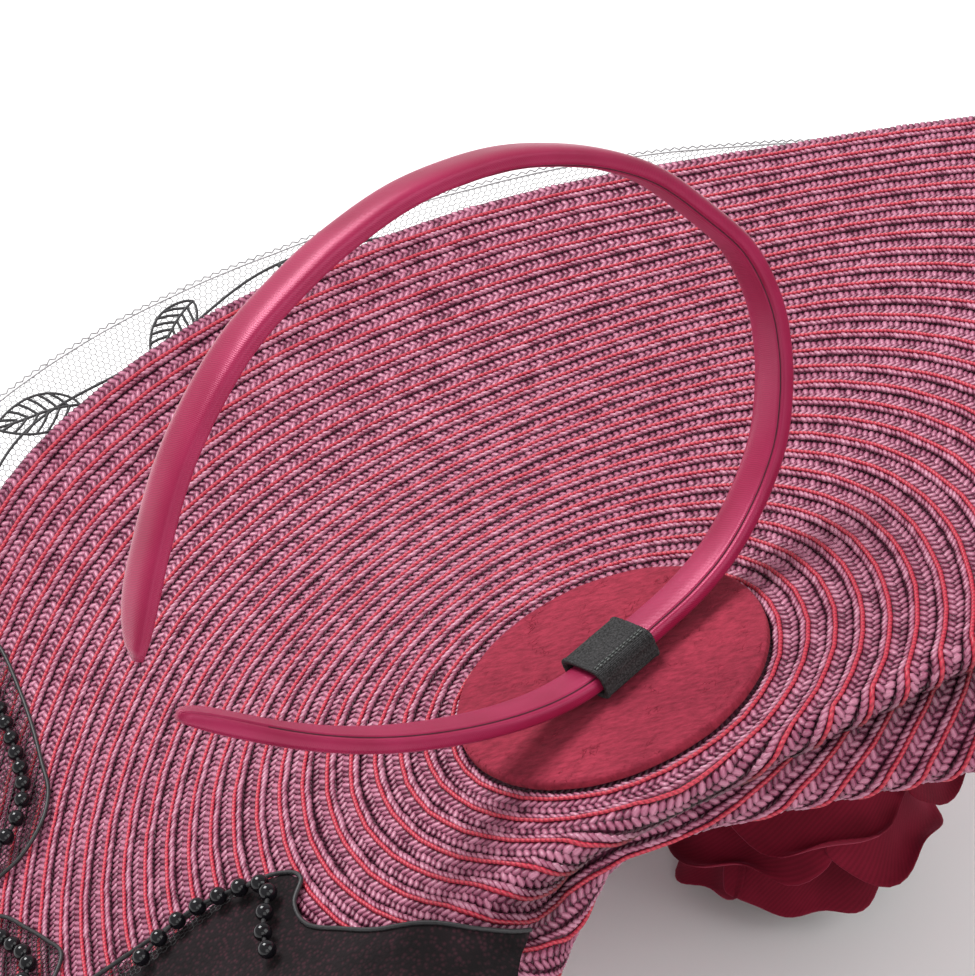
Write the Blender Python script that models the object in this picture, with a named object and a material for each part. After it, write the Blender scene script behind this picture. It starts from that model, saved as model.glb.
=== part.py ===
# Saucer fascinator lying upside down: its underside, felt base and headband face up.
# Metres, +Z up, with the origin on the floor under the middle of the bounding box.
# Hat axes: x along the headband, y away from the fold, z out of the saucer's underside.
import math

import bmesh
import bpy
import numpy
from mathutils import Matrix, Vector

# How the hat lies on the floor
LIE_TURN = math.radians(37.8)
LIE_SIDE_LEAN = math.radians(-14.2)
LIE_BACK_LEAN = math.radians(-16.5)

# Clearances
GAP = 0.0003
CLOTH_GAP = 0.0007
BORDER_GAP = 0.0014
ROSE_GAP = 0.0006
FLAP_GAP = 0.0014
FLAP_SIDE_GAP = 0.0022

# Straw saucer
SAUCER_RADIUS = 0.194
STRAW = 0.0024
FOLD_DISTANCE = 0.0405
FOLD_TURN = math.radians(19.0)
LIP_ARC = 0.0064
TUCK_DEPTH = 0.006
VALLEY_ARC = 0.0042
ROLL_WIDTH_START = 0.003
ROLL_WIDTH_END = 0.022
SECOND_LIP_ARC = 0.0062
FOLD_FADE_LEFT = (-0.064, -0.012)
FLAP_FADE_LEFT = (-0.185, -0.016)
FOLD_FADE_RIGHT = (0.150, 0.190)
ROLL_GROWTH = (-0.020, 0.085)
# Extra turn, in degrees, that curls the flap off the floor where it starts to turn under
FLAP_CURL = 158.0

# Slopes of the saucer: share of its radius, degrees up from the felt base
ALONG_SLOPES = ((-1.0, 21), (-0.85, 19), (-0.66, 13), (-0.54, 15), (-0.28, 7), (-0.18, 0),
                (0.18, 0), (0.36, 6), (0.72, 10), (1.0, 9))
AWAY_SLOPES = ((-0.18, 0), (0.18, 0), (0.36, -1), (0.54, 5), (0.72, 20), (0.9, 33), (1.0, 39))

# Rows across the fold: steps, slope below level where it is folded, slope where it is open
FOLD_ROWS = {
    "lip": (5, 176, 7),
    "tuck": (1, 179, 9),
    "valley": (4, 58, 12),
    "roll": (3, 56, 17),
    "second_lip": (5, 174, 18),
    "flap": (8, 160, 24),
}

# Columns of points along the fold, the share of them that is spaced evenly, and rows beyond it
SAUCER_COLUMNS = 25
EVEN_COLUMNS = 0.55
SAUCER_ROWS = 11

# Felt base
FELT_RADIUS = 0.034
FELT = 0.0025

# Headband: an open loop in a plane, with a padded oval section
HEADBAND_SPAN = 0.155
HEADBAND_RISE = 0.1125
HEADBAND_WIDTH = 0.0100
HEADBAND_THICKNESS = 0.0042
HEADBAND_TURN = math.radians(5.0)
HEADBAND_SHIFT = -0.0026
HEADBAND_SIDES = 10
HEADBAND_STEPS = 44
# Shares of the span and of the rise above the felt base, from the short tip to the long one
HEADBAND_PATH = ((-0.56, 0.495), (-0.435, 0.30), (-0.32, 0.165), (-0.185, 0.055), (-0.065, 0.0),
                 (0.065, 0.0), (0.145, 0.004), (0.218, 0.025), (0.29, 0.073), (0.352, 0.14),
                 (0.39, 0.215), (0.417, 0.30), (0.431, 0.40), (0.421, 0.52), (0.383, 0.63),
                 (0.333, 0.745), (0.273, 0.83), (0.207, 0.895), (0.14, 0.944), (0.067, 0.977),
                 (-0.006, 0.997), (-0.085, 1.0), (-0.168, 0.99), (-0.285, 0.952), (-0.40, 0.865),
                 (-0.488, 0.755), (-0.572, 0.625))

# Elastic sleeve that holds the headband on the felt
ELASTIC_LENGTH = 0.0150
ELASTIC_WALL = 0.0010
ELASTIC_PLAY = 0.0005

# Net lace: a border on the hat's top side that passes the rim, and a lap over the near-left brim
LACE = 0.0010
BORDER_INSIDE = 0.024
# Degrees round the rim from the headband's right end, and how far the border passes the rim
BORDER_REACH = ((30, 0.001), (38, 0.005), (46, 0.007), (54, 0.008), (62, 0.008), (70, 0.009),
                (78, 0.010), (86, 0.012), (94, 0.015), (102, 0.018), (110, 0.020), (118, 0.020),
                (127, 0.018), (136, 0.016), (146, 0.013), (156, 0.010), (168, 0.006),
                (180, 0.002))
LAP_ROWS = (0.0, 0.08, 0.17, 0.28, 0.46, 0.72, 1.0)
LAP_LIFT = 0.0012
# Degrees round the rim, and the lap's inner and outer edges as shares of the saucer's radius
LAP_EDGE = ((115.5, 0.955, 0.985), (118.0, 0.88, 0.985), (121.5, 0.825, 0.985),
            (125.0, 0.785, 0.985), (128.5, 0.755, 0.985), (132.0, 0.730, 0.985),
            (135.5, 0.728, 0.985), (138.8, 0.752, 0.985), (141.0, 0.80, 0.985),
            (142.8, 0.82, 0.985), (144.8, 0.765, 0.985), (147.5, 0.730, 0.985),
            (150.5, 0.700, 0.985), (153.5, 0.680, 0.98), (156.5, 0.700, 0.97),
            (158.6, 0.740, 0.96), (160.0, 0.540, 0.95), (162.5, 0.440, 0.93),
            (165.5, 0.400, 0.90), (169.0, 0.390, 0.87), (172.5, 0.410, 0.83),
            (178.0, 0.415, 0.75), (185.0, 0.398, 0.66), (192.0, 0.383, 0.585),
            (199.0, 0.362, 0.51), (206.0, 0.347, 0.443), (213.0, 0.338, 0.40))

# Pearls strung along the lace leaves: degrees round the rim, share of the saucer's radius
BEAD = 0.0038
BEAD_PITCH = 0.0050
BEAD_SIDES = 10
# Share of a pearl at which its round side gives way to the thread
BEAD_SHOULDER = 0.38
THREAD = 0.0010
LEFT_LEAF = ((120.5, 0.880), (122.5, 0.850), (125.5, 0.812), (128.5, 0.782), (131.8, 0.758),
             (135.0, 0.755), (137.6, 0.775), (139.3, 0.805), (140.5, 0.840))
NEAR_LEAF = ((163.2, 0.590), (162.3, 0.556), (161.6, 0.530), (161.8, 0.500), (162.8, 0.472),
             (164.2, 0.445), (166.2, 0.424), (168.2, 0.418), (170.0, 0.428), (172.4, 0.443),
             (175.5, 0.456), (179.5, 0.464))
LOW_LEAF = ((144.6, 0.825), (145.6, 0.790), (148.0, 0.757), (150.8, 0.730), (153.5, 0.712),
            (155.6, 0.728), (156.8, 0.755))

# Velvet roses: radius, height, and where each sits on the straw
NEAR_ROSE_RADIUS = 0.037
NEAR_ROSE_HEIGHT = 0.0622
NEAR_ROSE_ALONG = 0.045
NEAR_ROSE_FROM_RIM = 0.019
# Share of the way that its axis leans from the straw's outward direction to straight down
NEAR_ROSE_HANG = 0.6
END_ROSE_RADIUS = 0.031
END_ROSE_HEIGHT = 0.030
END_ROSE_TURN = 13.0
END_ROSE_FROM_RIM = 0.004
PETAL = 0.0012
PETAL_COLUMNS = 4
# Shares of a petal's half width from its foot to its edge, how far its corners drop back, and
# how far its second side stands out over its first
PETAL_WIDTHS = (0.55, 0.92, 1.0, 0.72)
PETAL_CORNERS = 0.10
PETAL_OVERLAP = 0.02
ROSE_CORE_SIDES = 12
# Shares of the rose's radius and height down its core
ROSE_CORE = ((0.30, 0.0), (0.36, 0.12), (0.38, 0.34), (0.38, 0.60), (0.32, 0.80), (0.13, 0.93))
# Rings of petals: count, first turn and half width in degrees, then shares of the radius
# and of the height from each petal's foot to its edge
PETAL_RINGS = {
    "outer": (5, 36, 43, (0.30, 0.72, 0.96, 1.0), (0.10, 0.22, 0.44, 0.58)),
    "middle": (4, 45, 50, (0.30, 0.64, 0.80, 0.84), (0.20, 0.40, 0.64, 0.80)),
    "inner": (4, 0, 52, (0.30, 0.52, 0.60, 0.62), (0.36, 0.60, 0.84, 1.0)),
}


def smooth(low, high, value):
    share = min(max((value - low) / (high - low), 0.0), 1.0)
    return share * share * (3.0 - 2.0 * share)


# Distance and height along a strip whose slope follows a table
def bend(slopes, reach):
    distance = numpy.linspace(-1.3 * reach, 1.3 * reach, 1301)
    shares = [row[0] * reach for row in slopes]
    angle = numpy.radians(numpy.interp(distance, shares, [row[1] for row in slopes]))
    step = distance[1] - distance[0]
    across = numpy.cumsum(numpy.cos(angle)) * step
    height = numpy.cumsum(numpy.sin(angle)) * step
    middle = len(distance) // 2
    return distance, across - across[middle], height - height[middle]


ALONG = bend(ALONG_SLOPES, SAUCER_RADIUS)
AWAY = bend(AWAY_SLOPES, SAUCER_RADIUS)


# Step for reading the straw's directions by differences
STEP = 0.0015


# Point of the bent saucer for flat distances s along the fold and t across it
def open_point(s, t):
    along = s * math.cos(FOLD_TURN) - t * math.sin(FOLD_TURN)
    away = -s * math.sin(FOLD_TURN) - t * math.cos(FOLD_TURN)
    x = numpy.interp(along, ALONG[0], ALONG[1])
    y = numpy.interp(away, AWAY[0], AWAY[1])
    z = numpy.interp(along, ALONG[0], ALONG[2]) + numpy.interp(away, AWAY[0], AWAY[2])
    return Vector((x, y, z))


# Directions at a point of the bent saucer: along the fold, across it and out of the underside
def open_axes(s, t):
    along = (open_point(s + STEP, t) - open_point(s - STEP, t)).normalized()
    across = (open_point(s, t + STEP) - open_point(s, t - STEP)).normalized()
    return along, across, across.cross(along).normalized()


# How far the fold and the turned-under flap are closed at s
def fold_share(s):
    return smooth(*FOLD_FADE_LEFT, s) * (1.0 - smooth(*FOLD_FADE_RIGHT, s))


def flap_share(s):
    return smooth(*FLAP_FADE_LEFT, s) * (1.0 - smooth(*FOLD_FADE_RIGHT, s))


# Lengths across the fold at s; the flap takes what is left of the saucer
def fold_lengths(s):
    total = math.sqrt(max(SAUCER_RADIUS ** 2 - s ** 2, 0.0)) - FOLD_DISTANCE
    roll = ROLL_WIDTH_START + (ROLL_WIDTH_END - ROLL_WIDTH_START) * smooth(*ROLL_GROWTH, s)
    parts = [LIP_ARC, TUCK_DEPTH, VALLEY_ARC, roll, SECOND_LIP_ARC]
    shrink = min(1.0, 0.62 * total / sum(parts))
    lengths = [part * shrink for part in parts]
    return lengths + [total - sum(lengths)]


# Places across the fold at s, from the fold line to the rim: (distance, point)
def fold_places(s, detail=1):
    start = open_point(s, FOLD_DISTANCE)
    _, across, out = open_axes(s, FOLD_DISTANCE)
    closed = (fold_share(s), flap_share(s))
    distance, x, z, slope = FOLD_DISTANCE, 0.0, 0.0, 0.0
    places = [(distance, start)]
    for (name, row), length in zip(FOLD_ROWS.items(), fold_lengths(s)):
        steps, folded, opened = row
        steps *= detail
        share = closed[1] if name in ("second_lip", "flap") else closed[0]
        target = share * folded + (1.0 - share) * opened
        if name == "flap":
            target += FLAP_CURL * math.sin(math.pi * math.sqrt(share))
        for step in range(steps):
            middle = math.radians(slope + (target - slope) * (step + 0.5) / steps)
            distance += length / steps
            x += math.cos(middle) * length / steps
            z -= math.sin(middle) * length / steps
            places.append((distance, start + across * x + out * z))
        slope = target
    return places


# Point of the saucer's middle surface at flat distances s and t
def straw_point(s, t):
    if t <= FOLD_DISTANCE:
        return open_point(s, t)
    places = fold_places(s, 2)
    for low, high in zip(places, places[1:]):
        if t <= high[0]:
            break
    return low[1].lerp(high[1], (t - low[0]) / max(high[0] - low[0], 0.0001))


# The point and its outward direction
def straw_place(s, t):
    along = straw_point(s + STEP, t) - straw_point(s - STEP, t)
    across = straw_point(s, t + STEP) - straw_point(s, t - STEP)
    return straw_point(s, t), across.cross(along).normalized()


# The same for an angle round the felt base from the headband's right end, and a distance
def rim_place(degrees, distance):
    turn = math.radians(degrees) + FOLD_TURN
    return straw_place(distance * math.cos(turn), -distance * math.sin(turn))


def material(name, colour, roughness, metallic=0.0):
    mat = bpy.data.materials.new(name)
    mat.use_nodes = True
    shader = mat.node_tree.nodes["Principled BSDF"]
    shader.inputs["Base Color"].default_value = (*colour, 1.0)
    shader.inputs["Roughness"].default_value = roughness
    shader.inputs["Metallic"].default_value = metallic
    return mat


def make_object(name, bm, mat, hat):
    mesh = bpy.data.meshes.new(name)
    bm.normal_update()
    bm.to_mesh(mesh)
    bm.free()
    mesh.shade_smooth()
    mesh.set_sharp_from_angle(angle=math.radians(50))
    obj = bpy.data.objects.new(name, mesh)
    obj.data.materials.append(mat)
    obj.parent = hat
    bpy.context.scene.collection.objects.link(obj)
    return obj


# A sheet from rows of points, with a wall of even thickness about it; None leaves a place open
def thick_sheet(name, rows, wall, mat, hat):
    bm = bmesh.new()
    grid = [[bm.verts.new(point) if point else None for point in row] for row in rows]
    for low, high in zip(grid, grid[1:]):
        for left in range(len(low) - 1):
            corners = (low[left], low[left + 1], high[left + 1], high[left])
            if all(corners):
                bm.faces.new(corners)
    bmesh.ops.remove_doubles(bm, verts=bm.verts, dist=0.00001)
    bmesh.ops.dissolve_degenerate(bm, edges=bm.edges, dist=0.00001)
    bmesh.ops.recalc_face_normals(bm, faces=bm.faces)
    bm.normal_update()
    facing = sum((face.normal * face.calc_area() for face in bm.faces), Vector())
    if facing.z < 0:
        bmesh.ops.reverse_faces(bm, faces=bm.faces)
    obj = make_object(name, bm, mat, hat)
    solid = obj.modifiers.new("wall", "SOLIDIFY")
    solid.thickness = wall
    solid.offset = 0.0
    solid.use_even_offset = False
    return obj


# The saucer in two sheets: the brim down to the crevice, and the flap from there to its rim.
# Their rows of points run parallel to the fold, closer together at its lips.
def make_saucer(hat):
    half = math.sqrt(SAUCER_RADIUS ** 2 - FOLD_DISTANCE ** 2)
    shares = []
    for column in range(SAUCER_COLUMNS + 1):
        even = 2.0 * column / SAUCER_COLUMNS - 1.0
        shares.append(EVEN_COLUMNS * even + (1.0 - EVEN_COLUMNS) * math.sin(0.5 * math.pi * even))
    last = math.asin(FOLD_DISTANCE / SAUCER_RADIUS)
    rows = []
    for row in range(SAUCER_ROWS + 1):
        angle = -0.5 * math.pi + (last + 0.5 * math.pi) * row / SAUCER_ROWS
        t = SAUCER_RADIUS * math.sin(angle)
        reach = SAUCER_RADIUS * math.cos(angle)
        rows.append([open_point(reach * share, t) for share in shares])
    ends = rows[-1][0], rows[-1][-1]
    folded = [fold_places(half * share)[1:] for share in shares[1:-1]]
    crevice = FOLD_ROWS["lip"][0] + FOLD_ROWS["tuck"][0]
    for step in range(len(folded[0])):
        row = [column[step][1] for column in folded]
        if step >= crevice:
            row = [row[0]] + [None] * (len(row) - 2) + [row[-1]]
        rows.append([ends[0]] + row + [ends[1]])
    straw = material("sewn braid", (0.46, 0.12, 0.24), 0.45)
    thick_sheet("straw_saucer", rows, STRAW, straw, hat)
    inset = FLAP_SIDE_GAP / half
    shares[1] += inset
    shares[-2] -= inset
    rows = []
    valley = FOLD_ROWS["valley"][0]
    for share in shares[1:-1]:
        places = fold_places(half * share)[crevice:]
        row = [straw_point(half * share, distance + FLAP_GAP * (1.0 - step / valley))
               for step, (distance, _) in enumerate(places[:valley])]
        rows.append(row + [point for _, point in places[valley:]])
    thick_sheet("straw_flap", list(zip(*rows)), STRAW, straw, hat)


def make_felt(hat):
    bm = bmesh.new()
    low = 0.5 * STRAW + GAP
    place = Matrix.Translation((0, 0, low + 0.5 * FELT))
    bmesh.ops.create_cone(bm, cap_ends=True, segments=48, radius1=FELT_RADIUS,
                          radius2=FELT_RADIUS, depth=FELT, matrix=place)
    felt = material("wool felt", (0.42, 0.045, 0.075), 0.95)
    return make_object("felt_base", bm, felt, hat)


# Smooth curve through a list of points, read at even shares of its steps
def curve_through(points, steps):
    ends = [points[0] * 2 - points[1]] + list(points) + [points[-1] * 2 - points[-2]]
    dense = []
    for index in range(1, len(ends) - 2):
        a, b, c, d = ends[index - 1:index + 3]
        for part in range(12):
            u = part / 12
            dense.append(0.5 * ((2 * b) + (c - a) * u + (2 * a - 5 * b + 4 * c - d) * u ** 2
                                + (3 * b - a - 3 * c + d) * u ** 3))
    dense.append(points[-1].copy())
    lengths = [0.0]
    for start, end in zip(dense, dense[1:]):
        lengths.append(lengths[-1] + (end - start).length)
    places = numpy.linspace(0.0, lengths[-1], steps + 1)
    axes = [numpy.interp(places, lengths, [point[axis] for point in dense]) for axis in range(3)]
    return [Vector(values) for values in zip(*axes)]


# Closed tube with a given section at each place; the sections are lists of (out, side)
def tube(bm, path, sections, sides):
    rings = []
    for index, point in enumerate(path):
        ahead = (path[min(index + 1, len(path) - 1)] - path[max(index - 1, 0)]).normalized()
        side = (sides[index] - ahead * sides[index].dot(ahead)).normalized()
        out = side.cross(ahead).normalized()
        rings.append([bm.verts.new(point + out * a + side * b) for a, b in sections[index]])
    for low, high in zip(rings, rings[1:]):
        count = len(low)
        for corner in range(count):
            after = (corner + 1) % count
            bm.faces.new((low[corner], low[after], high[after], high[corner]))
    bm.faces.new(rings[0])
    bm.faces.new(rings[-1])
    bmesh.ops.recalc_face_normals(bm, faces=bm.faces)


def oval(thickness, width, sides, power=0.7):
    points = []
    for corner in range(sides):
        angle = 2 * math.pi * (corner + 0.5) / sides
        c, s = math.cos(angle), math.sin(angle)
        points.append((0.5 * thickness * math.copysign(abs(c) ** power, c),
                       0.5 * width * math.copysign(abs(s) ** power, s)))
    return points


# Height of the headband's middle above the saucer's middle surface at the elastic
def band_base():
    return 0.5 * STRAW + GAP + FELT + GAP + ELASTIC_WALL + ELASTIC_PLAY + 0.5 * HEADBAND_THICKNESS


def band_axes():
    along = Vector((math.cos(HEADBAND_TURN), math.sin(HEADBAND_TURN), 0))
    return along, Vector((-along.y, along.x, 0))


def make_headband(hat):
    along, side = band_axes()
    up = Vector((0, 0, 1))
    points = [along * (x * HEADBAND_SPAN) + side * HEADBAND_SHIFT
              + up * (band_base() + z * HEADBAND_RISE)
              for x, z in HEADBAND_PATH]
    path = curve_through(points, HEADBAND_STEPS)
    sections = []
    for index in range(len(path)):
        tip = min(index, len(path) - 1 - index)
        size = (0.45, 0.82, 0.97, 1.0)[min(tip, 3)]
        sections.append([(a * size, b * size)
                         for a, b in oval(HEADBAND_THICKNESS, HEADBAND_WIDTH, HEADBAND_SIDES)])
    bm = bmesh.new()
    tube(bm, path, sections, [side] * len(path))
    satin = material("satin", (0.40, 0.035, 0.11), 0.35)
    return make_object("headband", bm, satin, hat)


# Sleeve round the headband, lying on the felt
def make_elastic(hat):
    along, side = band_axes()
    room = 2 * ELASTIC_PLAY
    wall = 2 * ELASTIC_WALL
    inner = oval(HEADBAND_THICKNESS + room, HEADBAND_WIDTH + room, HEADBAND_SIDES)
    outer = oval(HEADBAND_THICKNESS + room + wall, HEADBAND_WIDTH + room + wall, HEADBAND_SIDES)
    bm = bmesh.new()
    centre = side * HEADBAND_SHIFT + Vector((0, 0, band_base()))
    rings = []
    for end in (-0.5, 0.5):
        for loop in (inner, outer):
            start = centre + along * (end * ELASTIC_LENGTH)
            rings.append([bm.verts.new(start + Vector((0, 0, a)) + side * b) for a, b in loop])
    for low, high in ((0, 1), (1, 3), (3, 2), (2, 0)):
        count = len(inner)
        for corner in range(count):
            after = (corner + 1) % count
            bm.faces.new((rings[low][corner], rings[low][after],
                          rings[high][after], rings[high][corner]))
    bmesh.ops.recalc_face_normals(bm, faces=bm.faces)
    elastic = material("ribbed elastic", (0.035, 0.038, 0.036), 0.8)
    return make_object("elastic_loop", bm, elastic, hat)


# Point beside the saucer: its middle surface moved out by a height at degrees and a distance
def beside(degrees, distance, height):
    point, outward = rim_place(degrees, distance)
    return point + outward * height


def black_net():
    return material("black net", (0.035, 0.030, 0.032), 0.7)


# Net border on the hat's top side
def make_border(hat):
    below = -(0.5 * STRAW + BORDER_GAP + 0.5 * LACE)
    rows = []
    for share in (0.0, 0.5, 1.0):
        rows.append([beside(degrees, SAUCER_RADIUS + reach - (BORDER_INSIDE + reach) * share, below)
                     for degrees, reach in BORDER_REACH])
    pale = material("grey net", (0.62, 0.60, 0.61), 0.8)
    return thick_sheet("lace_border", rows, LACE, pale, hat)


# Net lap over the near-left brim, lifted a little more where the brim folds
def make_lap(hat):
    rows = []
    for share in LAP_ROWS:
        row = []
        for degrees, inner, outer in LAP_EDGE:
            turn = math.radians(degrees) + FOLD_TURN
            distance = SAUCER_RADIUS * (inner + (outer - inner) * share)
            closing = flap_share(distance * math.cos(turn))
            past = smooth(0.5 * FOLD_DISTANCE, FOLD_DISTANCE, -distance * math.sin(turn))
            height = 0.5 * STRAW + CLOTH_GAP + 0.5 * LACE + LAP_LIFT * closing * past
            row.append(beside(degrees, distance, height))
        rows.append(row)
    return thick_sheet("lace_lap", rows, LACE, black_net(), hat)


# Pearls and their thread as one body along a route on the lap
def make_beads(name, route, hat):
    height = 0.5 * STRAW + CLOTH_GAP + LACE + GAP + 0.5 * BEAD
    points = [beside(degrees, share * SAUCER_RADIUS, height) for degrees, share in route]
    length = sum((end - start).length for start, end in zip(points, points[1:]))
    count = max(2, round(length / BEAD_PITCH))
    normals = [rim_place(degrees, share * SAUCER_RADIUS)[1] for degrees, share in route]
    centres = curve_through(points, count)
    outs = curve_through(normals, count)
    waist = math.sqrt(0.25 - BEAD_SHOULDER ** 2)
    path, sizes, sides = [], [], []
    for index in range(count):
        start, end = centres[index], centres[index + 1]
        middle = (start + end) * 0.5
        ahead = (end - start).normalized()
        rings = [(middle - ahead * (BEAD_SHOULDER * BEAD), waist * BEAD), (middle, 0.5 * BEAD),
                 (middle + ahead * (BEAD_SHOULDER * BEAD), waist * BEAD)]
        if index:
            rings.insert(0, (start, 0.5 * THREAD))
        for point, radius in rings:
            path.append(point)
            sizes.append(radius)
            sides.append(outs[index])
    sections = []
    for radius in sizes:
        angles = [2 * math.pi * corner / BEAD_SIDES for corner in range(BEAD_SIDES)]
        sections.append([(radius * math.cos(a), radius * math.sin(a)) for a in angles])
    bm = bmesh.new()
    tube(bm, path, sections, sides)
    pearl = material("black pearl", (0.02, 0.02, 0.025), 0.15)
    return make_object(name, bm, pearl, hat)


# One petal as a closed sheet in a frame: turn round the axis, half width, and its profile
def petal(bm, frame, radius, height, turn, half_width, radii, heights):
    columns = PETAL_COLUMNS
    rows = []
    for step, (reach, depth, narrow) in enumerate(zip(radii, heights, PETAL_WIDTHS)):
        row = []
        for column in range(columns + 1):
            across = 2.0 * column / columns - 1.0
            angle = turn + math.radians(half_width) * narrow * across
            edge = 1.0 - PETAL_CORNERS * across * across * step / (len(radii) - 1)
            out = radius * reach * (1.0 + PETAL_OVERLAP * across)
            row.append(Vector((out * math.cos(angle), out * math.sin(angle), height * depth * edge)))
        rows.append(row)
    sheets = []
    for side in (-0.5, 0.5):
        sheet = []
        for i, row in enumerate(rows):
            line = []
            for j, point in enumerate(row):
                along = rows[min(i + 1, len(rows) - 1)][j] - rows[max(i - 1, 0)][j]
                across = row[min(j + 1, columns)] - row[max(j - 1, 0)]
                normal = across.cross(along).normalized()
                line.append(bm.verts.new(frame @ (point + normal * (side * PETAL))))
            sheet.append(line)
        sheets.append(sheet)
    low, high = sheets
    for i in range(len(rows) - 1):
        for j in range(columns):
            for sheet in sheets:
                bm.faces.new((sheet[i][j], sheet[i][j + 1], sheet[i + 1][j + 1], sheet[i + 1][j]))
        for j in (0, columns):
            bm.faces.new((low[i][j], low[i + 1][j], high[i + 1][j], high[i][j]))
    for i in (0, len(rows) - 1):
        for j in range(columns):
            bm.faces.new((low[i][j], low[i][j + 1], high[i][j + 1], high[i][j]))


# A rose whose core stands on a seat, with its petals fused to it; turns start at the rim's side
def make_rose(name, seat, outward, axis, toward, radius, height, rings, solver, mat, hat):
    side = (toward - axis * toward.dot(axis)).normalized()
    turned = Matrix((side, axis.cross(side), axis)).transposed()
    frame = Matrix.Translation(seat) @ turned.to_4x4()
    bm = bmesh.new()
    circle = [(math.cos(2 * math.pi * (corner + 0.5) / ROSE_CORE_SIDES),
               math.sin(2 * math.pi * (corner + 0.5) / ROSE_CORE_SIDES))
              for corner in range(ROSE_CORE_SIDES)]
    path = [seat + (outward if step < 2 else axis) * (height * depth)
            for step, (_, depth) in enumerate(ROSE_CORE)]
    sections = [[(radius * reach * a, radius * reach * b) for a, b in circle]
                for reach, _ in ROSE_CORE]
    tube(bm, path, sections, [side] * len(path))
    rose = make_object(name, bm, mat, hat)
    for ring in rings:
        count, first, half_width, radii, heights = PETAL_RINGS[ring]
        for index in range(count):
            bm = bmesh.new()
            turn = math.radians(first + 360.0 * index / count)
            petal(bm, frame, radius, height, turn, half_width, radii, heights)
            bmesh.ops.recalc_face_normals(bm, faces=bm.faces)
            piece = make_object(f"{name}_{ring}_{index}", bm, mat, hat)
            piece.hide_render = True
            piece.display_type = "WIRE"
            join = rose.modifiers.new(f"{ring} {index}", "BOOLEAN")
            join.operation = "UNION"
            join.solver = solver
            join.object = piece
    return rose


def make_roses(hat):
    velvet = material("burgundy velvet", (0.16, 0.008, 0.025), 0.8)
    bright = material("magenta petal", (0.55, 0.05, 0.20), 0.6)
    clear = 0.5 * STRAW + ROSE_GAP
    along = NEAR_ROSE_ALONG
    across = math.sqrt(SAUCER_RADIUS ** 2 - along ** 2) - NEAR_ROSE_FROM_RIM
    point, outward = straw_place(along, across)
    toward = straw_place(along, across + STEP)[0] - point
    down = hat.rotation_euler.to_matrix().inverted() @ Vector((0, 0, -1))
    axis = outward.lerp(down, NEAR_ROSE_HANG).normalized()
    make_rose("rose_near", point + outward * clear, outward, axis, toward, NEAR_ROSE_RADIUS,
              NEAR_ROSE_HEIGHT, ("outer", "middle", "inner"), "MANIFOLD", velvet, hat)
    distance = SAUCER_RADIUS - END_ROSE_FROM_RIM
    point, outward = rim_place(END_ROSE_TURN, distance)
    toward = rim_place(END_ROSE_TURN, distance + STEP)[0] - point
    make_rose("rose_end", point - outward * clear, -outward, -outward, toward, END_ROSE_RADIUS,
              END_ROSE_HEIGHT, ("outer", "inner"), "EXACT", bright, hat)


# Lowers the hat onto the floor with the middle of its box over the origin
def stand_on_floor(hat):
    bpy.context.view_layer.update()
    graph = bpy.context.evaluated_depsgraph_get()
    low, high = Vector((1e9,) * 3), Vector((-1e9,) * 3)
    for obj in hat.children:
        if obj.hide_render:
            continue
        solid = obj.evaluated_get(graph)
        for vertex in solid.data.vertices:
            place = solid.matrix_world @ vertex.co
            low = Vector(map(min, low, place))
            high = Vector(map(max, high, place))
    middle = (low + high) * 0.5
    hat.location = (-middle.x, -middle.y, -low.z)


def main():
    for old in list(bpy.data.objects):
        bpy.data.objects.remove(old, do_unlink=True)
    hat = bpy.data.objects.new("hat", None)
    bpy.context.scene.collection.objects.link(hat)
    hat.rotation_euler = (LIE_BACK_LEAN, LIE_SIDE_LEAN, LIE_TURN)
    make_saucer(hat)
    make_felt(hat)
    make_headband(hat)
    make_elastic(hat)
    make_border(hat)
    make_lap(hat)
    make_beads("beads_left_leaf", LEFT_LEAF, hat)
    make_beads("beads_near_leaf", NEAR_LEAF, hat)
    make_beads("beads_low_leaf", LOW_LEAF, hat)
    make_roses(hat)
    stand_on_floor(hat)


main()
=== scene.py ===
# Saucer fascinator of sewn braid, lying upside down: the finish of every piece.
import math

import bmesh
import bpy
import numpy as np
from mathutils import Euler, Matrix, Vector


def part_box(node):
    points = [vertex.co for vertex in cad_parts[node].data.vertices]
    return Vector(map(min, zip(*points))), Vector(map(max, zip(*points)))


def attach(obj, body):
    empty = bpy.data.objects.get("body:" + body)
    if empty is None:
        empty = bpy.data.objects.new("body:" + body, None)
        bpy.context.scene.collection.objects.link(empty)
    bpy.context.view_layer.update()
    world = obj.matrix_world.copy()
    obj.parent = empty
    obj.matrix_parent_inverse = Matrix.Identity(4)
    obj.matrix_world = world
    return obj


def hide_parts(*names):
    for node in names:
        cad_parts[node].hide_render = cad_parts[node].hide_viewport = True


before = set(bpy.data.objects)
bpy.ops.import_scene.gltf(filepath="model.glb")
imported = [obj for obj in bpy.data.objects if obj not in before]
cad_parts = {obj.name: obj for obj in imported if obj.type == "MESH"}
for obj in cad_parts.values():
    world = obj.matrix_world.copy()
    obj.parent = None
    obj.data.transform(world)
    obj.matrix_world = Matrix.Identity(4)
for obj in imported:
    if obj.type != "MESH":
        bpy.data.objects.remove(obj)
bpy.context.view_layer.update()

scene = bpy.context.scene

# How the hat lies; hat axes are x along the headband, y away from the fold, z out of the underside
hat = {"backLean": -16.5, "sideLean": -14.2, "turn": 37.8}

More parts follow.
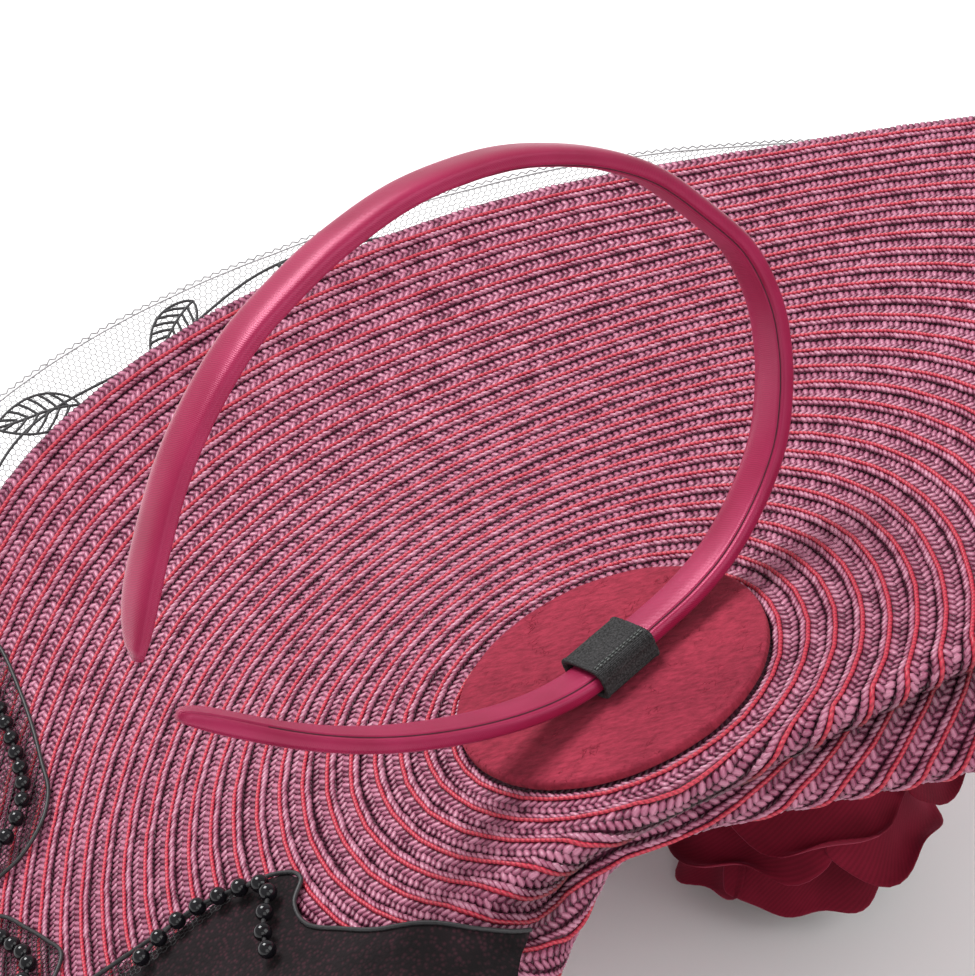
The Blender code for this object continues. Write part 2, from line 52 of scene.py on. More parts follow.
saucer = {
    "radius": 0.194,
    "wall": 0.0024,
    "foldDistance": 0.0405,
    "foldTurn": math.radians(19.0),
    "lipArc": 0.0064,
    "tuckDepth": 0.006,
    "valleyArc": 0.0042,
    "rollStart": 0.003,
    "rollEnd": 0.022,
    "secondLipArc": 0.0062,
    "foldFadeLeft": (-0.064, -0.012),
    "flapFadeLeft": (-0.185, -0.016),
    "foldFadeRight": (0.150, 0.190),
    "rollGrowth": (-0.020, 0.085),
    "flapCurl": 158.0,
}
alongSlopes = ((-1.0, 21), (-0.85, 19), (-0.66, 13), (-0.54, 15), (-0.28, 7), (-0.18, 0),
               (0.18, 0), (0.36, 6), (0.72, 10), (1.0, 9))
awaySlopes = ((-0.18, 0), (0.18, 0), (0.36, -1), (0.54, 5), (0.72, 20), (0.9, 33), (1.0, 39))
# Rows across the fold: steps, slope where it is folded, slope where it is open
foldRows = (("lip", 20, 176, 7), ("tuck", 4, 179, 9), ("valley", 16, 58, 12), ("roll", 12, 56, 17),
            ("secondLip", 20, 174, 18), ("flap", 32, 160, 24))

felt = {"radius": 0.034, "thickness": 0.0025, "gap": 0.0003}

boxLow, boxHigh = (np.array(corner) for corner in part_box("felt_base"))
hatTurn = np.array(Euler([math.radians(hat[key]) for key in ("backLean", "sideLean", "turn")]).to_matrix())
feltMiddle = 0.5 * saucer["wall"] + felt["gap"] + 0.5 * felt["thickness"]
hatPlace = 0.5 * (boxLow + boxHigh) - hatTurn @ np.array((0, 0, feltMiddle))


def toWorld(points):
    return np.asarray(points) @ hatTurn.T + hatPlace


def unit(vectors):
    vectors = np.asarray(vectors, dtype=float)
    return vectors / np.maximum(np.linalg.norm(vectors, axis=-1, keepdims=True), 1e-12)


def smoothStep(low, high, value):
    share = np.clip((np.asarray(value, dtype=float) - low) / (high - low), 0.0, 1.0)
    return share * share * (3.0 - 2.0 * share)


# The saucer's bent surface

def bendStrip(slopes):
    reach = saucer["radius"]
    distance = np.linspace(-1.3 * reach, 1.3 * reach, 1301)
    angle = np.radians(np.interp(distance, [row[0] * reach for row in slopes], [row[1] for row in slopes]))
    step = distance[1] - distance[0]
    across, height = np.cumsum(np.cos(angle)) * step, np.cumsum(np.sin(angle)) * step
    middle = len(distance) // 2
    return distance, across - across[middle], height - height[middle]


alongStrip, awayStrip = bendStrip(alongSlopes), bendStrip(awaySlopes)


# Point of the saucer before it is folded, for flat distances along and across the fold
def openPoint(s, t):
    c, k = math.cos(saucer["foldTurn"]), math.sin(saucer["foldTurn"])
    along, away = s * c - t * k, -s * k - t * c
    x, y = np.interp(along, alongStrip[0], alongStrip[1]), np.interp(away, awayStrip[0], awayStrip[1])
    z = np.interp(along, alongStrip[0], alongStrip[2]) + np.interp(away, awayStrip[0], awayStrip[2])
    return np.stack((x, y, z), axis=-1)


def foldShares(s):
    right = 1.0 - smoothStep(*saucer["foldFadeRight"], s)
    return smoothStep(*saucer["foldFadeLeft"], s) * right, smoothStep(*saucer["flapFadeLeft"], s) * right


def foldLengths(s):
    total = math.sqrt(max(saucer["radius"] ** 2 - s ** 2, 0.0)) - saucer["foldDistance"]
    grown = float(smoothStep(*saucer["rollGrowth"], s))
    roll = saucer["rollStart"] + (saucer["rollEnd"] - saucer["rollStart"]) * grown
    parts = [saucer["lipArc"], saucer["tuckDepth"], saucer["valleyArc"], roll, saucer["secondLipArc"]]
    shrink = min(1.0, 0.62 * total / sum(parts))
    lengths = [part * shrink for part in parts]
    return lengths + [total - sum(lengths)]


# One curve across the fold: distances and points from the fold line to the rim and a little past it
def foldCurve(s, pastRim=0.03):
    start = openPoint(s, saucer["foldDistance"])
    step = 0.002
    along = unit(openPoint(s + step, saucer["foldDistance"]) - openPoint(s - step, saucer["foldDistance"]))
    across = unit(openPoint(s, saucer["foldDistance"] + step) - openPoint(s, saucer["foldDistance"] - step))
    out = unit(np.cross(across, along))
    folded, flapped = foldShares(s)
    slopes, lengths, slope = [], [], 0.0
    for (name, steps, closedTo, openTo), length in zip(foldRows, foldLengths(s)):
        share = float(flapped if name in ("secondLip", "flap") else folded)
        target = share * closedTo + (1.0 - share) * openTo
        if name == "flap":
            target += saucer["flapCurl"] * math.sin(math.pi * math.sqrt(share))
        slopes.append(slope + (target - slope) * (np.arange(steps) + 0.5) / steps)
        lengths.append(np.full(steps, length / steps))
        slope = target
    slopes = np.radians(np.concatenate(slopes + [[slope]]))
    lengths = np.concatenate(lengths + [[pastRim]])
    x = np.concatenate(([0.0], np.cumsum(np.cos(slopes) * lengths)))
    z = np.concatenate(([0.0], -np.cumsum(np.sin(slopes) * lengths)))
    distance = saucer["foldDistance"] + np.concatenate(([0.0], np.cumsum(lengths)))
    return distance, start + across * x[:, None] + out * z[:, None]


def makeFoldTable():
    half = math.sqrt(saucer["radius"] ** 2 - saucer["foldDistance"] ** 2) - 0.0002
    sGrid = np.linspace(-half, half, 601)
    tGrid = np.linspace(saucer["foldDistance"], saucer["radius"] + 0.022, 701)
    table = np.empty((len(sGrid), len(tGrid), 3))
    for index, s in enumerate(sGrid):
        distance, points = foldCurve(s)
        for axis in range(3):
            table[index, :, axis] = np.interp(tGrid, distance, points[:, axis])
    return sGrid, tGrid, table


foldGrid = makeFoldTable()


# Point of the saucer's middle surface, for arrays of flat distances
def strawPoint(s, t):
    s, t = np.broadcast_arrays(np.asarray(s, dtype=float), np.asarray(t, dtype=float))
    sGrid, tGrid, table = foldGrid
    a = np.clip((s - sGrid[0]) / (sGrid[1] - sGrid[0]), 0, len(sGrid) - 1.001)
    b = np.clip((t - tGrid[0]) / (tGrid[1] - tGrid[0]), 0, len(tGrid) - 1.001)
    i, j = a.astype(int), b.astype(int)
    a, b = (a - i)[..., None], (b - j)[..., None]
    low = table[i, j] * (1 - b) + table[i, j + 1] * b
    high = table[i + 1, j] * (1 - b) + table[i + 1, j + 1] * b
    flat = openPoint(s, np.minimum(t, saucer["foldDistance"]))
    return np.where((t > saucer["foldDistance"])[..., None], low * (1 - a) + high * a, flat)


def strawNormal(s, t, step=0.0007):
    along = strawPoint(s + step, t) - strawPoint(s - step, t)
    across = strawPoint(s, t + step) - strawPoint(s, t - step)
    return unit(np.cross(across, along))


# Point at a radius and a turn from the fold line's direction, lifted off the middle surface
def ringPoint(radius, turn, height=0.0):
    s, t = radius * np.cos(turn), radius * np.sin(turn)
    return strawPoint(s, t) + strawNormal(s, t) * np.asarray(height)[..., None]


# The same for degrees round the felt base from the headband's right end
def rimPoint(degrees, radius, height=0.0):
    return ringPoint(radius, -(np.radians(degrees) + saucer["foldTurn"]), height)


print("saucer surface ready")


# Small tools for meshes, node trees and finishes

def linkMesh(name, mesh):
    piece = bpy.data.objects.new(name, mesh)
    scene.collection.objects.link(piece)
    return piece


def gridFaces(rows, columns, closeRows=False, closeColumns=False):
    i = np.arange(rows if closeRows else rows - 1)
    j = np.arange(columns if closeColumns else columns - 1)
    i, j = (grid.ravel() for grid in np.meshgrid(i, j, indexing="ij"))
    nextI, nextJ = (i + 1) % rows, (j + 1) % columns
    corners = ((i, j), (i, nextJ), (nextI, nextJ), (nextI, j))
    return np.stack([row * columns + column for row, column in corners], axis=1)


# A mesh from quads, with a UV for each corner where they are given
def quadMesh(name, points, quads, uvs=None):
    mesh = bpy.data.meshes.new(name)
    mesh.vertices.add(len(points))
    mesh.vertices.foreach_set("co", np.asarray(points, dtype=np.float32).ravel())
    mesh.loops.add(4 * len(quads))
    mesh.loops.foreach_set("vertex_index", np.asarray(quads, dtype=np.int32).ravel())
    mesh.polygons.add(len(quads))
    mesh.polygons.foreach_set("loop_start", np.arange(0, 4 * len(quads), 4, dtype=np.int32))
    if uvs is not None:
        layer = mesh.uv_layers.new(name="run")
        layer.data.foreach_set("uv", np.asarray(uvs, dtype=np.float32).ravel())
    mesh.update(calc_edges=True)
    mesh.validate()
    mesh.shade_smooth()
    return mesh


def joinQuads(parts):
    points, quads, uvs, start = [], [], [], 0
    for partPoints, partQuads, partUvs in parts:
        points.append(partPoints)
        quads.append(partQuads + start)
        uvs.append(partUvs)
        start += len(partPoints)
    return np.concatenate(points), np.concatenate(quads), np.concatenate(uvs)


def put(tree, kind, inputs=None, **settings):
    node = tree.nodes.new(kind)
    for key, value in settings.items():
        setattr(node, key, value)
    for key, value in (inputs or {}).items():
        node.inputs[key].default_value = value
    return node


def wire(tree, *pairs):
    for output, socket in pairs:
        tree.links.new(output, socket)


def colourRamp(tree, source, stops, interpolation="LINEAR"):
    node = put(tree, "ShaderNodeValToRGB")
    ramp = node.color_ramp
    ramp.interpolation = interpolation
    while len(ramp.elements) < len(stops):
        ramp.elements.new(0.5)
    for element, (place, colour) in zip(ramp.elements, stops):
        element.position = place
        element.color = (*colour, 1.0)
    wire(tree, (source, node.inputs["Fac"]))
    return node.outputs["Color"]


def blendColours(tree, factor, first, second, mode="MIX"):
    node = put(tree, "ShaderNodeMix", data_type="RGBA", blend_type=mode)
    for value, socket in ((factor, node.inputs[0]), (first, node.inputs[6]), (second, node.inputs[7])):
        if hasattr(value, "links"):
            wire(tree, (value, socket))
        elif isinstance(value, (int, float)):
            socket.default_value = value
        else:
            socket.default_value = (*value, 1.0)
    return node.outputs[2]


def newFinish(name, roughness=0.6, **shaderValues):
    finish = bpy.data.materials.new(name)
    finish.use_nodes = True
    tree = finish.node_tree
    shader = tree.nodes["Principled BSDF"]
    shader.inputs["Roughness"].default_value = roughness
    for key, value in shaderValues.items():
        shader.inputs[key].default_value = value
    return finish, tree, shader


def addBump(tree, shader, height, strength, distance):
    bump = put(tree, "ShaderNodeBump", {"Strength": strength, "Distance": distance})
    wire(tree, (height, bump.inputs["Height"]), (bump.outputs["Normal"], shader.inputs["Normal"]))


# Noise laid over a piece in its own coordinates
def objectNoise(tree, scale, detail=2.0):
    place = put(tree, "ShaderNodeTexCoord")
    noise = put(tree, "ShaderNodeTexNoise", {"Scale": scale, "Detail": detail})
    wire(tree, (place.outputs["Object"], noise.inputs["Vector"]))
    return noise.outputs["Fac"]


def paintProduct(tree, shader, first, second):
    wire(tree, (blendColours(tree, 1.0, first, second, "MULTIPLY"), shader.inputs["Base Color"]))


# Lets pieces ride on the one body
def dress(pieces):
    for piece in pieces:
        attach(piece, "root")


def newTree(name, inputs):
    tree = bpy.data.node_groups.new(name, "GeometryNodeTree")
    for label, kind, value in inputs:
        socket = tree.interface.new_socket(label, in_out="INPUT", socket_type=kind)
        if value is not None:
            socket.default_value = value
    tree.interface.new_socket("Geometry", in_out="OUTPUT", socket_type="NodeSocketGeometry")
    return tree, put(tree, "NodeGroupInput"), put(tree, "NodeGroupOutput")


# Evaluates a node tree on a carrier mesh and keeps the result as a plain mesh
def growMesh(name, carrier, tree, values, finish):
    modifier = carrier.modifiers.new(name, "NODES")
    modifier.node_group = tree
    for item in tree.interface.items_tree:
        if item.item_type == "SOCKET" and item.in_out == "INPUT" and item.name in values:
            modifier[item.identifier] = values[item.name]
    bpy.context.view_layer.update()
    graph = bpy.context.evaluated_depsgraph_get()
    mesh = bpy.data.meshes.new_from_object(carrier.evaluated_get(graph), depsgraph=graph)
    bpy.data.objects.remove(carrier, do_unlink=True)
    mesh.name = name
    if not mesh.materials:
        mesh.materials.append(finish)
    mesh.shade_smooth()
    return linkMesh(name, mesh)


# Tree that lays copies of one small shape at a carrier's points, turned to their directions
def makeLayTree():
    tree, start, end = newTree("layCopies", (
        ("Geometry", "NodeSocketGeometry", None), ("Shape", "NodeSocketObject", None),
        ("Length", "NodeSocketFloat", 0.002), ("Width", "NodeSocketFloat", 0.001),
        ("Height", "NodeSocketFloat", 0.0005), ("Size Spread", "NodeSocketFloat", 0.1),
        ("Seed", "NodeSocketInt", 1), ("Finish", "NodeSocketMaterial", None)))
    shape = put(tree, "GeometryNodeObjectInfo")
    ahead = put(tree, "GeometryNodeInputNamedAttribute", {"Name": "ahead"}, data_type="FLOAT_VECTOR")
    outward = put(tree, "GeometryNodeInputNamedAttribute", {"Name": "outward"}, data_type="FLOAT_VECTOR")
    turn = put(tree, "FunctionNodeAxesToRotation", primary_axis="Z", secondary_axis="X")
    size = put(tree, "ShaderNodeCombineXYZ")
    low = put(tree, "ShaderNodeMath", {0: 1.0}, operation="SUBTRACT")
    high = put(tree, "ShaderNodeMath", {0: 1.0}, operation="ADD")
    spread = put(tree, "FunctionNodeRandomValue", data_type="FLOAT")
    scaled = put(tree, "ShaderNodeVectorMath", operation="SCALE")
    copies = put(tree, "GeometryNodeInstanceOnPoints")
    shade = put(tree, "FunctionNodeRandomValue", data_type="FLOAT")
    store = put(tree, "GeometryNodeStoreNamedAttribute", {"Name": "tint"}, data_type="FLOAT",
                domain="INSTANCE")
    real = put(tree, "GeometryNodeRealizeInstances")
    paint = put(tree, "GeometryNodeSetMaterial")
    wire(tree,
         (start.outputs["Geometry"], copies.inputs["Points"]),
         (start.outputs["Shape"], shape.inputs["Object"]),
         (shape.outputs["Geometry"], copies.inputs["Instance"]),
         (outward.outputs[0], turn.inputs[0]), (ahead.outputs[0], turn.inputs[1]),
         (turn.outputs["Rotation"], copies.inputs["Rotation"]),
         (start.outputs["Length"], size.inputs["X"]), (start.outputs["Width"], size.inputs["Y"]),
         (start.outputs["Height"], size.inputs["Z"]),
         (start.outputs["Size Spread"], low.inputs[1]), (start.outputs["Size Spread"], high.inputs[1]),
         (low.outputs[0], spread.inputs[2]), (high.outputs[0], spread.inputs[3]),
         (start.outputs["Seed"], spread.inputs["Seed"]), (start.outputs["Seed"], shade.inputs["Seed"]),
         (size.outputs[0], scaled.inputs[0]), (spread.outputs[1], scaled.inputs["Scale"]),
         (scaled.outputs[0], copies.inputs["Scale"]),
         (copies.outputs["Instances"], store.inputs["Geometry"]), (shade.outputs[1], store.inputs["Value"]),
         (store.outputs["Geometry"], real.inputs["Geometry"]),
         (real.outputs["Geometry"], paint.inputs["Geometry"]),
         (start.outputs["Finish"], paint.inputs["Material"]),
         (paint.outputs["Geometry"], end.inputs["Geometry"]))
    return tree


# Tree that turns a carrier's edges into round cords
def makeCordTree():
    tree, start, end = newTree("roundCords", (
        ("Geometry", "NodeSocketGeometry", None), ("Thread Radius", "NodeSocketFloat", 0.0001),
        ("Sides", "NodeSocketInt", 3), ("Caps", "NodeSocketBool", True),
        ("Finish", "NodeSocketMaterial", None)))
    curve = put(tree, "GeometryNodeMeshToCurve")
    ring = put(tree, "GeometryNodeCurvePrimitiveCircle")
    cord = put(tree, "GeometryNodeCurveToMesh")
    real = put(tree, "GeometryNodeRealizeInstances")
    paint = put(tree, "GeometryNodeSetMaterial")
    wire(tree,
         (start.outputs["Caps"], cord.inputs["Fill Caps"]),
         (start.outputs["Geometry"], curve.inputs["Mesh"]), (curve.outputs["Curve"], cord.inputs["Curve"]),
         (start.outputs["Sides"], ring.inputs["Resolution"]),
         (start.outputs["Thread Radius"], ring.inputs["Radius"]),
         (ring.outputs["Curve"], cord.inputs["Profile Curve"]),
         (cord.outputs["Mesh"], real.inputs["Geometry"]),
         (real.outputs["Geometry"], paint.inputs["Geometry"]),
         (start.outputs["Finish"], paint.inputs["Material"]),
         (paint.outputs["Geometry"], end.inputs["Geometry"]))
    return tree


layTree, cordTree = makeLayTree(), makeCordTree()


def layCopies(name, points, ahead, outward, shape, size, finish, spread=0.1, seed=1, paintedShade=None):
    mesh = bpy.data.meshes.new(name + "_places")
    mesh.from_pydata(toWorld(points).tolist(), [], [])
    # Painted crevice shade, when given, is stored on the copies' points
    if paintedShade is not None:
        storePaintedShade(mesh, paintedShade)
    for label, vectors in (("ahead", ahead), ("outward", outward)):
        layer = mesh.attributes.new(label, "FLOAT_VECTOR", "POINT")
        layer.data.foreach_set("vector", (vectors @ hatTurn.T).astype(np.float32).ravel())
    values = {"Shape": shape, "Length": size[0], "Width": size[1], "Height": size[2],
              "Size Spread": spread, "Seed": seed, "Finish": finish}
    return growMesh(name, linkMesh(name + "_places", mesh), layTree, values, finish)


def layCords(name, points, edges, radius, finish, sides=3, caps=True):
    mesh = bpy.data.meshes.new(name + "_lines")
    mesh.from_pydata(toWorld(points).tolist(), edges.tolist(), [])
    values = {"Thread Radius": radius, "Sides": sides, "Caps": caps, "Finish": finish}
    return growMesh(name, linkMesh(name + "_lines", mesh), cordTree, values, finish)


# Small closed grain, pointed at both ends, that straws, stitches and felt fibres are copies of
def makeGrain():
    ringsAt, half = (-0.22, 0.22), 0.5
    points = [(-half, 0, 0.1)]
    for x in ringsAt:
        points += [(x, -half, 0), (x, 0, half), (x, half, 0)]
    points.append((half, 0, 0.1))
    faces = [(0, 1, 2), (0, 2, 3), (0, 3, 1), (1, 4, 5, 2), (2, 5, 6, 3), (3, 6, 4, 1),
             (7, 5, 4), (7, 6, 5), (7, 4, 6)]
    mesh = bpy.data.meshes.new("grain")
    mesh.from_pydata(points, [], faces)
    layer = mesh.uv_layers.new(name="run")
    for loop in mesh.loops:
        place = mesh.vertices[loop.vertex_index].co
        layer.data[loop.index].uv = (place.x + half, place.y + half)
    mesh.shade_smooth()
    return linkMesh("grain", mesh)


grain = makeGrain()


# Where the painted crevice shade starts past the fold line, and its fade in shares of the hidden stretch and
# the roll
crevice = {"from": 0.0025, "fadeFrom": 0.92, "fadeHidden": 0.10, "fadeRoll": 0.70}


# Painted shade in the crevice between the two lips: how deep in it a place is, from 0 to 1, which darkens the
# colour there
def paintedCreviceShade(s, t):
    past = t - saucer["foldDistance"]
    closed, _ = foldShares(s)
    grown = smoothStep(*saucer["rollGrowth"], s)
    roll = saucer["rollStart"] + (saucer["rollEnd"] - saucer["rollStart"]) * grown
    hidden = saucer["lipArc"] + saucer["tuckDepth"] + saucer["valleyArc"]
    fadeLength = crevice["fadeHidden"] * hidden + crevice["fadeRoll"] * roll
    faded = smoothStep(0.0, 1.0, (past - crevice["fadeFrom"] * hidden) / fadeLength)
    return closed * smoothStep(crevice["from"], saucer["lipArc"], past) * (1.0 - faded)


# Stores the painted crevice shade on a mesh's points
def storePaintedShade(mesh, values):
    layer = mesh.attributes.new("paintedShade", "FLOAT", "POINT")
    layer.data.foreach_set("value", np.asarray(values, dtype=np.float32).ravel())


# Painted shade: a colour that darkens a finish towards burgundy black by the stored crevice shade
def paintedShadeTint(tree):
    paintedShade = put(tree, "ShaderNodeAttribute", attribute_name="paintedShade")
    return colourRamp(tree, paintedShade.outputs["Fac"], ((0.0, (1.0, 1.0, 1.0)), (1.0, (0.07, 0.035, 0.045))))


# Finishes of the braid

def strawFinish(name, stops, roughness):
    finish, tree, shader = newFinish(name, roughness, **{"Coat Weight": 0.25, "Coat Roughness": 0.3})
    tint = put(tree, "ShaderNodeAttribute", attribute_name="tint")
    place = put(tree, "ShaderNodeTexCoord")
    streak = put(tree, "ShaderNodeTexNoise", {"Scale": 1.0, "Detail": 2.0})
    stretch = put(tree, "ShaderNodeMapping", {"Scale": (1.2, 9.0, 1.0)})
    part = put(tree, "ShaderNodeMath", {1: 0.38}, operation="MULTIPLY")
    mix = put(tree, "ShaderNodeMath", {1: 0.62}, operation="MULTIPLY_ADD")
    wire(tree, (place.outputs["UV"], stretch.inputs["Vector"]), (stretch.outputs[0], streak.inputs["Vector"]),
         (objectNoise(tree, 55.0, 3.0), part.inputs[0]), (tint.outputs["Fac"], mix.inputs[0]),
         (part.outputs[0], mix.inputs[2]))
    colour = colourRamp(tree, mix.outputs[0], stops)
    streaks = colourRamp(tree, streak.outputs["Fac"], ((0.3, (0.72, 0.70, 0.72)), (0.7, (1.15, 1.12, 1.15))))
    streaked = blendColours(tree, 1.0, colour, streaks, "MULTIPLY")
    # Colour darkened by the painted crevice shade
    paintProduct(tree, shader, streaked, paintedShadeTint(tree))
    addBump(tree, shader, streak.outputs["Fac"], 0.5, 0.0002)
    return finish


mauveStraw = strawFinish("mauve straw", (
    (0.10, (0.18, 0.032, 0.075)), (0.45, (0.36, 0.090, 0.165)), (0.85, (0.52, 0.19, 0.285))), 0.42)
paleStraw = strawFinish("pale mauve straw edge", (
    (0.10, (0.27, 0.055, 0.110)), (0.5, (0.43, 0.130, 0.215)), (0.9, (0.57, 0.25, 0.345))), 0.40)


def redStrandFinish():
    finish, tree, shader = newFinish("red strand", 0.45)
    place = put(tree, "ShaderNodeTexCoord")
    twist = put(tree, "ShaderNodeTexWave", {"Scale": 0.55, "Distortion": 1.2, "Detail": 1.0},
                wave_type="BANDS", bands_direction="DIAGONAL")
    wire(tree, (place.outputs["UV"], twist.inputs["Vector"]))
    colour = colourRamp(tree, twist.outputs["Fac"], (
        (0.1, (0.34, 0.014, 0.036)), (0.6, (0.56, 0.036, 0.070))))
    # Colour darkened by the painted crevice shade
    paintProduct(tree, shader, colour, paintedShadeTint(tree))
    addBump(tree, shader, twist.outputs["Fac"], 0.6, 0.0002)
    return finish


# The rows' ground: painted shade, dark between and beneath the straws, and striped braid on the hat's top
# side, with herringbone ribs painted darker in their troughs as shade
def groundFinish():
    finish, tree, shader = newFinish("braid ground", 0.5)
    place = put(tree, "ShaderNodeTexCoord")
    split = put(tree, "ShaderNodeSeparateXYZ")
    wire(tree, (place.outputs["UV"], split.inputs[0]))
    # Stops up to 0.46 paint the ground's outward face dark as the shade between and beneath the straws; the
    # stops from 0.52 to 0.94 are the braid's own mauve and red on the top side
    stripes = colourRamp(tree, split.outputs["Y"], (
        (0.0, (0.085, 0.010, 0.030)), (0.46, (0.13, 0.020, 0.052)), (0.52, (0.44, 0.13, 0.22)),
        (0.60, (0.46, 0.16, 0.28)), (0.68, (0.44, 0.14, 0.26)), (0.72, (0.55, 0.05, 0.10)),
        (0.78, (0.55, 0.05, 0.10)), (0.82, (0.44, 0.14, 0.26)), (0.94, (0.52, 0.22, 0.35)),
        (1.0, (0.12, 0.02, 0.06))))
    slant = put(tree, "ShaderNodeMath", {1: 9.0}, operation="MULTIPLY")
    bend = put(tree, "ShaderNodeMath", operation="ABSOLUTE")
    centre = put(tree, "ShaderNodeMath", {1: 0.75}, operation="SUBTRACT")
    run = put(tree, "ShaderNodeMath", operation="ADD")
    ribs = put(tree, "ShaderNodeMath", {1: 4.4}, operation="MULTIPLY")
    wave = put(tree, "ShaderNodeMath", operation="SINE")
    wire(tree, (split.outputs["Y"], centre.inputs[0]), (centre.outputs[0], bend.inputs[0]),
         (bend.outputs[0], slant.inputs[0]), (slant.outputs[0], run.inputs[0]),
         (split.outputs["X"], run.inputs[1]), (run.outputs[0], ribs.inputs[0]),
         (ribs.outputs[0], wave.inputs[0]))
    # Painted shade: the ribs' troughs are darkened, following the same wave as the bump
    shade = colourRamp(tree, wave.outputs[0], ((0.0, (0.40, 0.36, 0.40)), (0.5, (1.0, 1.0, 1.0))))
    ribbed = blendColours(tree, 0.8, stripes, shade, "MULTIPLY")
    # Colour darkened by the painted crevice shade
    paintProduct(tree, shader, ribbed, paintedShadeTint(tree))
    addBump(tree, shader, wave.outputs[0], 0.5, 0.0004)
    return finish


braid = {
    "rows": 34,
    "hiddenRows": 6,          # under the felt base
    "longStep": 0.0064,       # longest step along a row
    "bendStep": 14.0,         # degrees that a row may turn in one step
    "wander": 0.00022,        # how far an edge wanders
    # Across one row: share of its width, height off the middle surface in mm, stripe
    "section": ((0.0, 0.25, 0.02), (0.03, 0.85, 0.10), (0.24, 1.0, 0.2), (0.62, 0.72, 0.3),
                (1.10, 0.20, 0.46), (1.06, -0.85, 0.52), (0.98, -1.25, 0.56), (0.55, -1.12, 0.75),
                (0.06, -0.80, 0.98)),
    "strandAt": 0.33,
    "strandHeight": 0.00122,
    "strandRadius": 0.00050,
    "seed": 11,
}


# Turns round one row, closer together where it runs over a lip
def rowTurns(radius):
    count = max(24, int(2 * math.pi * radius / 0.0005))
    fine = np.linspace(0.0, 2 * math.pi, count + 1)
    points = ringPoint(radius, fine, np.zeros(count + 1))
    normals = strawNormal(radius * np.cos(fine), radius * np.sin(fine))
    steps = np.diff(points, axis=0)
    lengths = np.linalg.norm(steps, axis=1)
    turned = np.degrees(np.arccos(np.clip(np.sum(normals[1:] * normals[:-1], axis=1), -1, 1)))
    measure = np.concatenate(([0.0], np.cumsum(lengths / braid["longStep"] + turned / braid["bendStep"])))
    places = np.linspace(0.0, measure[-1], max(18, int(math.ceil(measure[-1]))) + 1)
    return np.interp(places, measure, fine)[:-1]


# Slow wander of a row's edge round its turn, the same each run
def rowWander(row, turns):
    random = np.random.default_rng(braid["seed"] + row)
    phases = random.uniform(0, 2 * math.pi, 4)
    waves = (3, 7, 16 + row, 34 + 2 * row)
    return sum(np.sin(wave * turns + phase) for wave, phase in zip(waves, phases)) * 0.35 * braid["wander"]


def makeRows(finish):
    pitch = saucer["radius"] / braid["rows"]
    parts, paintedShades = [], []
    for row in range(braid["rows"]):
        turns = rowTurns((row + 0.5) * pitch)
        wander = rowWander(row, turns)
        section = braid["section"]
        radii = np.array([(row + share) * pitch for share, _, _ in section])
        if row == braid["rows"] - 1:
            radii = np.minimum(radii, saucer["radius"])
        if row == 0:
            radii = np.maximum(radii, 0.0002)
        radius = radii[None, :] + np.where(radii[None, :] < saucer["radius"] - 0.0005, wander[:, None], 0.0)
        height = np.array([mm for _, mm, _ in section])[None, :] * 0.001 + 0 * radius
        points = ringPoint(radius, np.broadcast_to(turns[:, None], radius.shape), height).reshape(-1, 3)
        rows, columns = radius.shape
        quads = gridFaces(rows, columns, closeRows=True, closeColumns=True)
        run = np.concatenate((turns, [2 * math.pi])) * (row + 0.5) * pitch * 1000
        i, j = np.divmod(np.arange(rows * columns), columns)
        stripe = np.array([value for _, _, value in section] + [1.0])
        u = np.stack((run[i], run[i], run[i + 1], run[i + 1]), axis=1)
        v = np.stack((stripe[j], stripe[j + 1], stripe[j + 1], stripe[j]), axis=1)
        parts.append((points, quads, np.stack((u, v), axis=2).reshape(-1, 4, 2)))
        # Painted crevice shade for every point of the row
        paintedShades.append(paintedCreviceShade(radius * np.cos(turns)[:, None], radius * np.sin(turns)[:, None]).ravel())
    points, quads, uvs = joinQuads(parts)
    mesh = quadMesh("straw_rows", toWorld(points), quads, uvs)
    storePaintedShade(mesh, np.concatenate(paintedShades))
    mesh.materials.append(finish)
    return linkMesh("straw_rows", mesh)


# Places along every row at one share of its width: points, directions and painted crevice shade
def lanePlaces(share, height, pitch, slant, rowsFrom):
    width = saucer["radius"] / braid["rows"]
    points, ahead, outward, paintedShades = [], [], [], []
    for row in range(rowsFrom, braid["rows"]):
        radius = (row + share) * width
        count = int(2 * math.pi * radius / 0.0004)
        turns = np.linspace(0.0, 2 * math.pi, count + 1)
        lane = ringPoint(radius + rowWander(row, turns), turns, np.full(count + 1, height))
        length = np.concatenate(([0.0], np.cumsum(np.linalg.norm(np.diff(lane, axis=0), axis=1))))
        copies = int(length[-1] / pitch)
        at = np.interp((np.arange(copies) + 0.5 * (row % 2)) * length[-1] / copies, length, turns)
        before, after = at - 0.0006 / radius, at + 0.0006 / radius
        places = ringPoint(radius + rowWander(row, at), at, np.full(copies, height))
        tangent = unit(ringPoint(radius, after, np.full(copies, height))
                       - ringPoint(radius, before, np.full(copies, height)))
        normal = strawNormal(radius * np.cos(at), radius * np.sin(at))
        side = unit(np.cross(normal, tangent))
        angle = math.radians(slant)
        points.append(places)
        ahead.append(tangent * math.cos(angle) + side * math.sin(angle))
        outward.append(normal)
        # Painted crevice shade at every straw
        paintedShades.append(paintedCreviceShade(radius * np.cos(at), radius * np.sin(at)))
    return [np.concatenate(values) for values in (points, ahead, outward, paintedShades)]


# Straws: share of the row's width, height, spacing, slant, then the copy's length, width and thickness
straws = {
    "edge": (0.135, 0.00092, 0.00145, -27.0, (0.0028, 0.00130, 0.0011), "paleStraw"),
    "inner": (0.53, 0.00078, 0.00170, 52.0, (0.0029, 0.00158, 0.0007), "mauveStraw"),
    "outer": (0.80, 0.00060, 0.00170, -52.0, (0.0027, 0.00158, 0.0007), "mauveStraw"),
}


